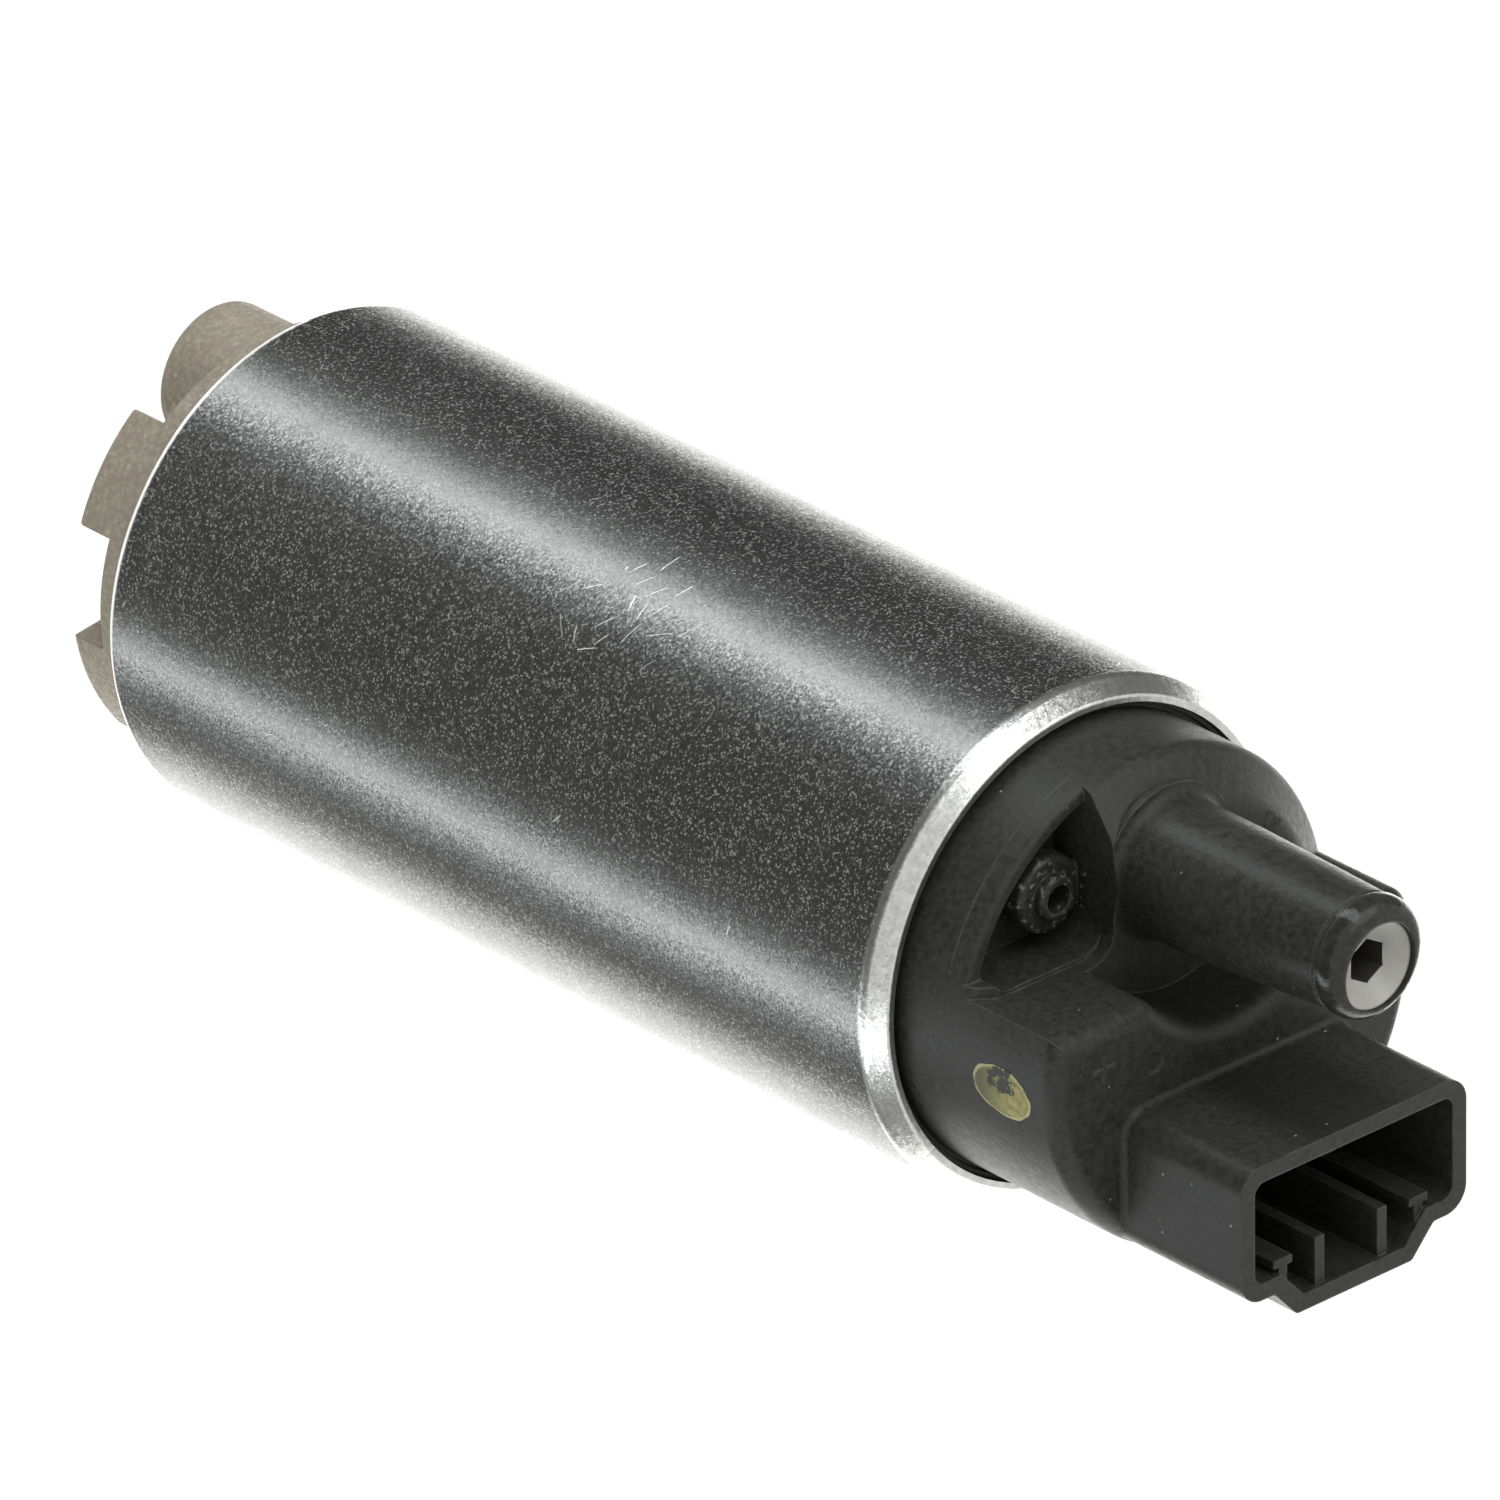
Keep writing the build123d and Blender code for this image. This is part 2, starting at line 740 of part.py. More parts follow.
def bearing_holder():
    """Moulded holder with the bush hub, two brush boxes, four fuel windows and two choke cups."""
    plate_bottom = upper_shoulder - holder_drop
    plate_top = plate_bottom + holder_plate_t
    skirt_r = can_bore_r - seat_gap
    body = rod(skirt_r, plate_bottom, plate_top)
    body += tube(skirt_r, skirt_r - holder_skirt_t, plate_top, skirt_bottom)
    body += tube(piece_r, skirt_r - holder_skirt_t, upper_shoulder, skirt_bottom)
    hub_r = upper_bush_r + holder_hub_wall
    body += rod(hub_r, upper_bush_bottom, upper_bush_top)
    for angle in window_angles:
        window = sector(window_in_r, window_out_r, angle - window_sweep / 2, window_sweep)
        body -= prism(window, plate_bottom, plate_top)
    inside_w = brush_w / 2 + slide_gap
    inside_d = brush_d / 2 + slide_gap
    box_bottom = run_face + box_down
    for side in (-1, 1):
        centre = side * brush_x
        outer = block(centre - inside_w - box_wall, centre + inside_w + box_wall,
                      -inside_d - box_wall, inside_d + box_wall, box_bottom, box_top)
        body += outer
        cup_r = choke_core_r + seat_gap
        body += rod(cup_r + cup_wall, plate_bottom, skirt_bottom + cup_h, side * choke_x, choke_y)
    for side in (-1, 1):
        centre = side * brush_x
        body -= block(centre - inside_w, centre + inside_w, -inside_d, inside_d, box_bottom, box_top)
        body -= rod(choke_core_r + seat_gap, skirt_bottom, skirt_bottom + cup_h,
                    side * choke_x, choke_y)
    body -= rod(upper_bush_r + seat_gap, upper_bush_bottom, upper_bush_top)
    return body


def brush(side):
    """Carbon block, square on the commutator, with a chamfered top."""
    centre = side * brush_x
    body = block(centre - brush_w / 2, centre + brush_w / 2, -brush_d / 2, brush_d / 2,
                 brush_bottom, brush_top)
    return chamfer(edges_at(body, brush_top), brush_chamfer)


def brush_spring(side):
    """Coil spring between the brush and the end cover's seat."""
    return coil_spring(brush_spring_r, brush_spring_wire_r, brush_spring_turns,
                       brush_top, spring_seat_z, side * brush_x, brush_spring_y)


def pigtail(side):
    """Braided lead from the brush over its box to the choke."""
    x = side * brush_x
    over_z = spring_seat_z + pigtail_over
    outside_y = -brush_d / 2 - slide_gap - box_wall - pigtail_r - pigtail_off_box
    end_y = choke_y + choke_core_r + 2 * choke_wire_r + seat_gap
    low_z = over_z - pigtail_drop
    path = FilletPolyline(
        (x, pigtail_y, brush_top),
        (x, pigtail_y, over_z),
        (x, outside_y, over_z),
        (x, outside_y, low_z),
        (x, end_y, low_z - pigtail_end_fall),
        radius=[pigtail_bend, pigtail_bend, pigtail_end_bend],
    )
    start = Plane(origin=path @ 0, z_dir=path % 0)
    return sweep(start * Circle(pigtail_r), path=path)


def choke_cores():
    """Two ferrite rods, standing in the holder's cups."""
    cores = [rod(choke_core_r, skirt_bottom, choke_top, side * choke_x, choke_y) for side in (-1, 1)]
    return Compound(children=cores)


def choke_coils():
    """Enamelled wire wound round each rod."""
    radius = choke_core_r + choke_wire_r + seat_gap
    bottom = skirt_bottom + choke_start
    top = bottom + choke_turns * choke_pitch + 2 * choke_wire_r
    coils = [coil_spring(radius, choke_wire_r, choke_turns, bottom, top, side * choke_x, choke_y)
             for side in (-1, 1)]
    return Compound(children=coils)


def terminal(side):
    """Blade that stands in the plug socket, with a tab on top of the choke."""
    blade_low = side * blade_x - blade_w / 2
    blade_high = side * blade_x + blade_w / 2
    blade_y_low = blade_y - blade_t / 2
    blade_y_high = blade_y + blade_t / 2
    tip = socket_floor + blade_up
    body = block(blade_low, blade_high, blade_y_low, blade_y_high, choke_top, tip)
    body = chamfer(edges_at(body, tip).filter_by(Axis.Y), blade_point)
    far_x = side * (choke_x + tab_reach)
    near_x = side * (blade_x - blade_w / 2)
    body += block(min(near_x, far_x), max(near_x, far_x), choke_y - tab_w / 2, choke_y + tab_w / 2,
                  choke_top, choke_top + tab_t)
    return body


# End cover


def block_face(inset):
    """Plan of the tall block: the drum's circle cut off in front of the nozzle."""
    outer = Circle(drum_r - inset)
    front = block_y - inset
    half = Rectangle(plan_cut, plan_cut, align=(Align.CENTER, Align.MAX))
    face = outer & (Pos(0, front) * half)
    face -= Pos(0, nozzle_y) * Circle(recess_r + inset)
    return face


def socket_face(inset, corner, step_corner):
    """Outline of the plug socket's shroud, inset for the inside."""
    x = socket_x - inset
    top = socket_top_y - inset
    foot = socket_foot_y + inset
    step = socket_step_x - inset * socket_slope
    bulge_x = socket_bulge_x - inset * socket_slope
    bulge_y = socket_bulge_y + inset
    half = [(x, top), (x, foot), (step, foot), (bulge_x, bulge_y)]
    points = half + [(-px, py) for px, py in reversed(half)]
    face = make_face(Polyline(*points, close=True))
    rounds = [((x, top), corner), ((x, foot), corner), ((step, foot), step_corner),
              ((bulge_x, bulge_y), step_corner)]
    for (px, py), radius in rounds:
        for sign in (-1, 1):
            vertex = face.vertices().sort_by_distance((sign * px, py, 0))[0]
            face = fillet(vertex, radius)
    return face


def beside_nozzle(y_low):
    """Plan of all that lies on the pocket's side of the nozzle, from one line outwards."""
    return Pos(pocket_x, y_low) * Rectangle(plan_cut, plan_cut, align=(Align.MAX, Align.MIN))


def pocket_face():
    """Plan of the pocket beside the nozzle."""
    face = Circle(pocket_r) & beside_nozzle(pocket_y)
    vertex = face.vertices().sort_by_distance((pocket_x, pocket_y, 0))[0]
    face = fillet(vertex, pocket_corner)
    corner_x = -sqrt(pocket_r ** 2 - pocket_y ** 2)
    vertex = face.vertices().sort_by_distance((corner_x, pocket_y, 0))[0]
    return fillet(vertex, pocket_far_corner)


def ledge_face():
    """Plan of the ledge round the pocket, with the same centre for its corner."""
    face = beside_nozzle(block_y)
    vertex = face.vertices().sort_by_distance((pocket_x, block_y, 0))[0]
    return fillet(vertex, pocket_corner + pocket_ledge_w)


def cover_outside():
    """Skirt, flange, drum and tall block, before anything is hollowed."""
    groove_out = drum_r + groove_w
    chamfer_z = flange_top - (counterbore_r - crimp_lip_r)
    skirt = turned(
        [
            (0, skirt_bottom),
            (piece_r, skirt_bottom),
            (piece_r, chamfer_z),
            (piece_r - (flange_top - chamfer_z), flange_top),
            (groove_out, flange_top),
            (groove_out, flange_top - groove_depth),
            (drum_r, flange_top - groove_depth),
            (drum_r, drum_edge_z),
            (deck_r, deck_z),
            (0, deck_z),
        ],
        [((drum_r, drum_edge_z), drum_round), ((deck_r, deck_z), deck_round)],
    )
    tall = prism(block_face(0), flange_top, block_top)
    corners = tall.edges().filter_by(Axis.Z)
    tall = fillet(corners.sort_by(Axis.Y)[-2:], block_corner)
    return skirt + round_top(tall, block_top, block_round)


def cover_hollow():
    """Space inside the cover, clear of the pocket and of the two valve tubes."""
    space = turned(
        [
            (0, skirt_bottom),
            (inner_r, skirt_bottom),
            (inner_r, drum_edge_z - cover_wall / 2),
            (deck_r - cover_wall / 2, deck_ceiling),
            (0, deck_ceiling),
        ]
    )
    space += prism(block_face(cover_wall), skirt_bottom, block_ceiling)
    space -= prism(offset(pocket_face(), pocket_wall), pocket_floor - cover_wall, deck_z)
    space -= rod(relief_seat_r + relief_tube_wall, relief_seat_top - relief_seat_h, deck_z,
                 relief_x, relief_y)
    space -= rod(throat_r + cover_wall, throat_tube_bottom, deck_z, 0, nozzle_y)
    for side in (-1, 1):
        x = side * brush_x
        space -= rod(spring_seat_r, spring_seat_z, deck_z, x, brush_spring_y)
        space -= rod(spring_peg_r, spring_seat_z - spring_peg_h, deck_z, x, brush_spring_y)
    return space


def nozzle():
    """Outlet spigot: straight root, body with its draft on the socket's side, neck and bead."""
    foot_r = nozzle_r + nozzle_foot
    root = turned(
        [
            (0, deck_z - nozzle_root),
            (foot_r, deck_z - nozzle_root),
            (foot_r, deck_z),
            (nozzle_r, deck_z),
            (nozzle_r, nozzle_cone_z),
            (0, nozzle_cone_z),
        ],
        [((nozzle_r, deck_z), nozzle_root_round)],
    )
    body = loft([
        Pos(0, 0, nozzle_cone_z) * Circle(nozzle_r),
        Pos(0, nozzle_lean, nozzle_end_z) * Circle(nozzle_end_r),
    ])
    head = turned(
        [
            (0, nozzle_end_z),
            (nozzle_end_r, nozzle_end_z),
            (neck_r, nozzle_end_z + neck_slope),
            (neck_r, bead_z),
            (bead_r, bead_z),
            (bead_r, tip_z),
            (0, tip_z),
        ],
        [((bead_r, bead_z), bead_under_round), ((bead_r, tip_z), bead_round)],
    )
    spigot = Pos(0, nozzle_y, 0) * (root + body + Pos(0, nozzle_lean, 0) * head)
    return spigot - prism(beside_nozzle(0), deck_z - nozzle_root, nozzle_cone_z)


def marks():
    """Raised polarity signs on the tall block, and two raised ticks on the deck."""
    low = block_top - cut_over
    high = block_top + mark_h
    half = mark_size / 2
    bar = mark_w / 2
    signs = [
        block(-mark_x - half, -mark_x + half, mark_y - bar, mark_y + bar, low, high),
        block(-mark_x - bar, -mark_x + bar, mark_y - half, mark_y + half, low, high),
        block(mark_x - half, mark_x + half, mark_y - bar, mark_y + bar, low, high),
    ]
    tick = block(tick_in_r, tick_in_r + tick_length, -tick_w / 2, tick_w / 2,
                 deck_z - cut_over, deck_z + tick_h)
    return signs + [Rot(0, 0, angle) * tick for angle in tick_angles]


def pocket_cuts():
    """What is taken off the drum beside the nozzle: ledge, outer rim and pocket."""
    high = deck_z + cut_over
    cuts = prism(ledge_face(), pocket_ledge, high)
    rim = beside_nozzle(pocket_y + pocket_far_corner / 2) - Circle(pocket_r - pocket_far_corner)
    rim_low = pocket_rim - pocket_rim_round
    wall = turned([(0, rim_low), (drum_r, rim_low), (drum_r, pocket_rim), (0, pocket_rim)],
                  [((drum_r, pocket_rim), pocket_rim_round)])
    cuts += prism(rim, rim_low, high) - wall
    cuts += prism(pocket_face(), pocket_floor, high)
    return cuts


def relief_boss():
    """Stepped boss of the relief valve, which stands on the pocket's floor."""
    step_top = pocket_floor + relief_step_h
    crown_top = pocket_floor + relief_top_h
    step = rod(relief_step_r, pocket_floor - cut_over, step_top, relief_x, relief_y)
    crown = rod(relief_top_r, pocket_floor, crown_top, relief_x, relief_y)
    return round_top(step, step_top, relief_step_round) + round_top(crown, crown_top, relief_top_round)


def socket_ribs():
    """Two plain ribs and two hooked keys on the socket's lower side."""
    low = socket_floor - cut_over
    high = mouth_z - rib_back
    ribs = []
    for side in (-1, 1):
        rib_x = side * socket_rib_x
        ribs.append(block(rib_x - socket_rib_t / 2, rib_x + socket_rib_t / 2,
                          socket_bulge_y + socket_wall / 2, socket_rib_up_y, low, high))
        stem_x = side * key_x
        ribs.append(block(stem_x - key_t / 2, stem_x + key_t / 2, socket_foot_y, key_up_y, low, high))
        ribs.append(block(stem_x - key_head_w / 2, stem_x + key_head_w / 2,
                          key_up_y - key_head_t, key_up_y, low, high))
    return ribs


def end_cover():
    """Black moulding with the nozzle, the plug socket, the pocket and the relief valve's boss."""
    body = cover_outside() - pocket_cuts()
    body += nozzle()
    body += prism(socket_face(0, socket_corner, socket_step_corner), block_top - socket_root, mouth_z)
    foot = [edge for edge in edges_at(body, block_top)
            if abs(edge.center().X) <= socket_x + near and edge.center().Y <= socket_top_y + near]
    body = fillet(foot, socket_root_round)
    body -= cover_hollow()
    body -= prism(socket_face(socket_wall, socket_in_corner, socket_in_step_corner), socket_floor,
                  mouth_z)
    for rib in socket_ribs():
        body += rib
    body += relief_boss()
    body -= rod(relief_vent_r, relief_roof_z - cut_over, pocket_floor + relief_top_h + cut_over,
                relief_x, relief_y)
    body -= rod(relief_chamber_r, relief_seat_top, relief_roof_z, relief_x, relief_y)
    body -= rod(relief_seat_r + seat_gap, relief_seat_top - relief_seat_h, relief_seat_top,
                relief_x, relief_y)
    body -= rod(throat_r, throat_tube_bottom - cut_over, valve_floor, 0, nozzle_y)
    body -= rod(outlet_bore_r, valve_floor, tip_z, 0, nozzle_y)
    body -= rod(retainer_head_r + seat_gap, retainer_top - retainer_head_t, tip_z, 0, nozzle_y)
    for side in (-1, 1):
        x = side * blade_x
        body -= block(x - blade_w / 2 - seat_gap, x + blade_w / 2 + seat_gap,
                      blade_y - blade_t / 2 - seat_gap, blade_y + blade_t / 2 + seat_gap,
                      block_ceiling - cut_over, socket_floor + cut_over)
    groove_z = flange_top - seal_down
    seal_centre = counterbore_r - seal_squeeze - seal_r
    body -= tube(piece_r + cut_over, seal_centre - seal_r - seal_squeeze,
                 groove_z - seal_r - seal_side_gap, groove_z + seal_r + seal_side_gap)
    for mark in marks():
        body += mark
    return body - rod(dimple_r, block_top - dimple_depth, block_top + cut_over, dimple_x, dimple_y)


def end_cover_seal():
    """Rubber ring between the end cover and the can."""
    seal_centre = counterbore_r - seal_squeeze - seal_r
    return Pos(0, 0, flange_top - seal_down) * Torus(seal_centre, seal_r)


# Valves


def check_valve_seal():
    """Rubber disc under the poppet."""
    low = valve_floor + face_gap
    return tube(poppet_head_r + valve_seal_over, poppet_stem_r, low, low + valve_seal_t, 0, nozzle_y)


def check_valve_poppet():
    """Poppet with a cross-shaped guide in the throat, a head and a spring boss."""
    seal_low = valve_floor + face_gap
    head_low = seal_low + valve_seal_t
    head_top = head_low + poppet_head_t
    body = rod(poppet_head_r, head_low, head_top, 0, nozzle_y)
    body = round_top(body, head_top, poppet_head_round)
    body += rod(poppet_boss_r, head_top, head_top + poppet_boss_h, 0, nozzle_y)
    body += rod(poppet_stem_r - seat_gap, seal_low, head_low, 0, nozzle_y)
    guide_r = throat_r - slide_gap
    guide_low = seal_low - poppet_guide_h
    fins = block(-guide_r, guide_r, nozzle_y - poppet_fin_t / 2, nozzle_y + poppet_fin_t / 2,
                 guide_low, seal_low)
    fins += block(-poppet_fin_t / 2, poppet_fin_t / 2, nozzle_y - guide_r, nozzle_y + guide_r,
                  guide_low, seal_low)
    body += fins & rod(guide_r, guide_low, seal_low, 0, nozzle_y)
    return body


def check_valve_spring():
    """Light spring between the poppet and the retainer."""
    head_top = valve_floor + face_gap + valve_seal_t + poppet_head_t
    return coil_spring(valve_spring_r, valve_spring_wire_r, valve_spring_turns,
                       head_top, retainer_bottom, 0, nozzle_y)


def outlet_retainer():
    """White plug with a dished head and a hexagonal hole, pressed into the nozzle's mouth."""
    body_r = outlet_bore_r - seat_gap
    head_bottom = retainer_top - retainer_head_t
    dish_bottom = retainer_top - retainer_dish_depth
    body = turned([
        (0, retainer_bottom),
        (body_r, retainer_bottom),
        (body_r, head_bottom),
        (retainer_head_r, head_bottom),
        (retainer_head_r, retainer_top),
        (retainer_head_r - retainer_dish_edge, retainer_top),
        (retainer_dish_in_r, dish_bottom),
        (0, dish_bottom),
    ])
    hexagon = Rot(0, 0, 30) * RegularPolygon(retainer_hex_r, 6)
    return Pos(0, nozzle_y, 0) * (body - prism(hexagon, retainer_bottom, retainer_top))


def ball_centre_z():
    """Height of the relief ball at rest on its seat."""
    rise = sqrt(relief_ball_r ** 2 - relief_seat_bore_r ** 2)
    return relief_seat_top + rise + face_gap


def relief_valve_ball():
    """Steel ball."""
    return Pos(relief_x, relief_y, ball_centre_z()) * Sphere(relief_ball_r)


def relief_valve_spring():
    """Spring between the ball and the chamber's roof."""
    shoulder = sqrt(relief_ball_r ** 2 - (relief_spring_r - relief_spring_wire_r) ** 2)
    low = ball_centre_z() + shoulder
    return coil_spring(relief_spring_r, relief_spring_wire_r, relief_spring_turns,
                       low, relief_roof_z, relief_x, relief_y)


def relief_valve_seat():
    """Brass seat pressed into the cover from below."""
    low = relief_seat_top - relief_seat_h
    return tube(relief_seat_r, relief_seat_bore_r, low, relief_seat_top, relief_x, relief_y)


pieces = {
    "housing_can": housing_can(),
    "inlet_cover": inlet_cover(),
    "pump_casing": pump_casing(),
    "impeller": impeller(),
    "thrust_pin": rod(thrust_pin_r, thrust_bottom, thrust_top),
    "lower_bush": tube(bush_r, shaft_r + running_gap, bush_bottom, bush_top),
    "shaft": shaft(),
    "armature_core": armature_core(),
    "armature_windings": armature_windings(),
    "armature_insulators": armature_insulators(),
    "commutator_base": commutator_base(),
    "commutator_segments": commutator_segments(),
    "thrust_washers": thrust_washers(),
    "magnet_a": magnet(0.0),
    "magnet_b": magnet(180.0),
    "magnet_clips": magnet_clips(),
    "bearing_holder": bearing_holder(),
    "upper_bush": tube(upper_bush_r, shaft_r + running_gap, upper_bush_bottom, upper_bush_top),
    "brush_a": brush(-1),
    "brush_b": brush(1),
    "brush_spring_a": brush_spring(-1),
    "brush_spring_b": brush_spring(1),
    "pigtail_a": pigtail(-1),
    "pigtail_b": pigtail(1),
    "choke_cores": choke_cores(),
    "choke_coils": choke_coils(),
    "terminal_a": terminal(-1),
    "terminal_b": terminal(1),
    "end_cover": end_cover(),
    "end_cover_seal": end_cover_seal(),
    "check_valve_poppet": check_valve_poppet(),
    "check_valve_seal": check_valve_seal(),
    "check_valve_spring": check_valve_spring(),
    "outlet_retainer": outlet_retainer(),
    "relief_valve_ball": relief_valve_ball(),
    "relief_valve_spring": relief_valve_spring(),
    "relief_valve_seat": relief_valve_seat(),
}

os.makedirs("parts", exist_ok=True)
for name, solid in pieces.items():
    export_step(solid, "parts/" + name + ".step")
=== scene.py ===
import json
from math import atan2, cos, pi, radians, sin

import bmesh
import bpy
from mathutils import Matrix, Vector


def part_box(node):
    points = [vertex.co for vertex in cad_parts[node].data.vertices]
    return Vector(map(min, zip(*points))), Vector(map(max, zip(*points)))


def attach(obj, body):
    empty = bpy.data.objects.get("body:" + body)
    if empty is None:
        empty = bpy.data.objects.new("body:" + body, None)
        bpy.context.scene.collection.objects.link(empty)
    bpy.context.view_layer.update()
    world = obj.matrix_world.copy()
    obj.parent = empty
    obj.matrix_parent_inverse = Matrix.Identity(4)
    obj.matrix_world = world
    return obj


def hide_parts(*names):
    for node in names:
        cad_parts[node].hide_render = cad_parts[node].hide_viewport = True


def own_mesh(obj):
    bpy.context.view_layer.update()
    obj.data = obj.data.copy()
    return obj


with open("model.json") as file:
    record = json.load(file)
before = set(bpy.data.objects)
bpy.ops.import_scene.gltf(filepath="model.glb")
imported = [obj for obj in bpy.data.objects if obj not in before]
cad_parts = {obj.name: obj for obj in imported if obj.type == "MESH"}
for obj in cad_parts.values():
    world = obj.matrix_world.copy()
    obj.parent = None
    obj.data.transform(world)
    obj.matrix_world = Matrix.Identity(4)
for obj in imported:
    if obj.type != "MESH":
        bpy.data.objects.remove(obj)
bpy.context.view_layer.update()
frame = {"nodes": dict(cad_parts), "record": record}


# Steel can. A tube of thin steel, drawn, turned over both end covers and then zinc-nickel plated
# with a dark passivation. The plating is satin with a fine salt-like grit, the crimping tool rubbed
# the bevel at the outlet and the rolled rim bright, and handling left short nicks.
def linear(code):
    """Linear colour of an sRGB hex value."""
    parts = [int(code[i:i + 2], 16) / 255 for i in (1, 3, 5)]
    return [p / 12.92 if p <= 0.04045 else ((p + 0.055) / 1.055) ** 2.4 for p in parts] + [1.0]


def add_node(tree, kind, inputs, **settings):
    """Adds a shader node and gives its outputs. An input is a socket, a number or a hex colour.

    A Mix of two colours takes their share at 0 and the colours at 6 and 7, and gives the mix at 2.
    """
    made = tree.nodes.new("ShaderNode" + kind)
    for name, value in settings.items():
        setattr(made, name, value)
    for slot, value in inputs.items():
        if isinstance(value, bpy.types.NodeSocket):
            tree.links.new(value, made.inputs[slot])
        else:
            made.inputs[slot].default_value = linear(value) if isinstance(value, str) else value
    return made.outputs


def new_material(name, metallic=0.0):
    """Empty material with a Principled shader. Gives material, tree, shader and object position."""
    made = bpy.data.materials.new(name)
    made.use_nodes = True
    tree = made.node_tree
    shader = tree.nodes["Principled BSDF"]
    shader.inputs["Metallic"].default_value = metallic
    return made, tree, shader, add_node(tree, "TexCoord", {})["Object"]


def clouds(tree, place, size, low=0.0, high=1.0, detail=3.0):
    """Soft blotches, each about as wide as the size in metres, as a value from low to high."""
    noise = add_node(tree, "TexNoise", {"Vector": place, "Scale": 0.6 / size, "Detail": detail})
    return add_node(tree, "MapRange", {"Value": noise["Fac"], "From Min": 0.3, "From Max": 0.7,
                                       "To Min": low, "To Max": high})["Result"]


def dimples(tree, place, size, depth, under=None, detail=3.0):
    """Skin relief of soft dimples over another relief, size and depth in metres."""
    noise = add_node(tree, "TexNoise", {"Vector": place, "Scale": 0.6 / size, "Detail": detail})
    below = {"Normal": under} if under else {}
    return add_node(tree, "Bump", {"Height": noise["Fac"], "Distance": depth, **below})["Normal"]


def set_surface(tree, shader, colour, roughness, relief):
    """Gives the shader its colour, roughness and relief."""
    tree.links.new(colour, shader.inputs["Base Color"])
    tree.links.new(roughness, shader.inputs["Roughness"])
    tree.links.new(relief, shader.inputs["Normal"])


nodes = frame["nodes"]


def dress(material, *names):
    """Gives CAD nodes one material."""
    for name in names:
        slots = nodes[name].data.materials
        slots.clear()
        slots.append(material)


def strokes(tree, place, spacing, share, length, width, across=(0, 0, 0)):
    """Short straight marks on a share of evenly spread places, mostly across one direction."""
    spots = add_node(tree, "TexVoronoi", {"Vector": place, "Scale": 1 / spacing})
    away = add_node(tree, "VectorMath", {0: place, 1: spots["Position"]}, operation="SUBTRACT")[0]
    pull = [0.5 - part for part in across]
    spin = add_node(tree, "VectorMath", {0: spots["Color"], 1: pull}, operation="SUBTRACT")[0]
    skin = add_node(tree, "NewGeometry", {})["True Normal"]
    upright = add_node(tree, "VectorMath", {0: spin, 1: skin}, operation="PROJECT")[0]
    spin = add_node(tree, "VectorMath", {0: spin, 1: upright}, operation="SUBTRACT")[0]
    spin = add_node(tree, "VectorMath", {0: spin}, operation="NORMALIZE")[0]
    off_line = add_node(tree, "VectorMath", {0: away, 1: spin}, operation="DOT_PRODUCT")["Value"]
    off_line = add_node(tree, "Math", {0: off_line}, operation="ABSOLUTE")[0]
    line = add_node(tree, "MapRange", {"Value": off_line, "From Min": width, "From Max": 0.3 * width})
    reach = add_node(tree, "VectorMath", {0: away}, operation="LENGTH")["Value"]
    ends = add_node(tree, "MapRange", {"Value": reach, "From Min": length, "From Max": 0.7 * length})
    chance = add_node(tree, "SeparateColor", {"Color": spots["Color"]})["Red"]
    chosen = add_node(tree, "Math", {0: chance, 1: share}, operation="LESS_THAN")[0]
    mark = add_node(tree, "Math", {0: line["Result"], 1: ends["Result"]}, operation="MULTIPLY")[0]
    return add_node(tree, "Math", {0: mark, 1: chosen}, operation="MULTIPLY")[0]


mm = 0.001
crimp_z = 77.0 * mm
crimp_fade = 0.35 * mm
rim_z = -0.08 * mm
rim_fade = 0.15 * mm
grit = 0.13 * mm  # the real grit is half as wide and would not show
facet_lean = 0.10  # how far the grit's facets lean, as a slope
nick_w = 0.07 * mm
nick_depth = 0.02 * mm
nicks_at = (-9.5 * mm, 16.4 * mm, 44 * mm)
nicks_near, nicks_far = 4 * mm, 7 * mm  # the group is whole within the first, gone past the second
plated_steel, tree, shader, place = new_material("zinc_nickel_plated_steel")
height = add_node(tree, "SeparateXYZ", {"Vector": place})["Z"]
cells = add_node(tree, "TexVoronoi", {"Vector": place, "Scale": 1 / grit})
tone = add_node(tree, "SeparateColor", {"Color": cells["Color"]})
steel = add_node(tree, "Mix", {0: clouds(tree, place, 9 * mm, detail=4.0), 6: "#797976", 7: "#858582"},
                 data_type="RGBA")[2]
steel = add_node(tree, "Mix", {0: tone["Green"], 6: "#6c6c69", 7: steel}, data_type="RGBA")[2]

# Salt-like specks: crystals of the passivation that scatter light, so they are not metallic.
salt = add_node(tree, "MapRange", {"Value": tone["Red"], "From Min": 0.76, "From Max": 0.97})["Result"]
steel = add_node(tree, "Mix", {0: salt, 6: steel, 7: "#a8a8a5"}, data_type="RGBA")[2]

# Nicks, most of them together on the upper side, the rest strewn about.
struck = add_node(tree, "VectorMath", {0: place, 1: nicks_at}, operation="DISTANCE")["Value"]
struck = add_node(tree, "MapRange", {"Value": struck, "From Min": nicks_far, "From Max": nicks_near})
group = strokes(tree, place, 1.6 * mm, 0.4, 1.1 * mm, nick_w, across=(0.1, 0.1, 0.6))
group = add_node(tree, "Math", {0: group, 1: struck["Result"]}, operation="MULTIPLY")[0]
nicks = strokes(tree, place, 5 * mm, 0.3, 0.6 * mm, nick_w)
nicks = add_node(tree, "Math", {0: nicks, 1: 0.7}, operation="MULTIPLY")[0]
marks = add_node(tree, "Math", {0: group, 1: nicks}, operation="MAXIMUM")[0]
steel = add_node(tree, "Mix", {0: marks, 6: steel, 7: "#e4e4e0"}, data_type="RGBA")[2]

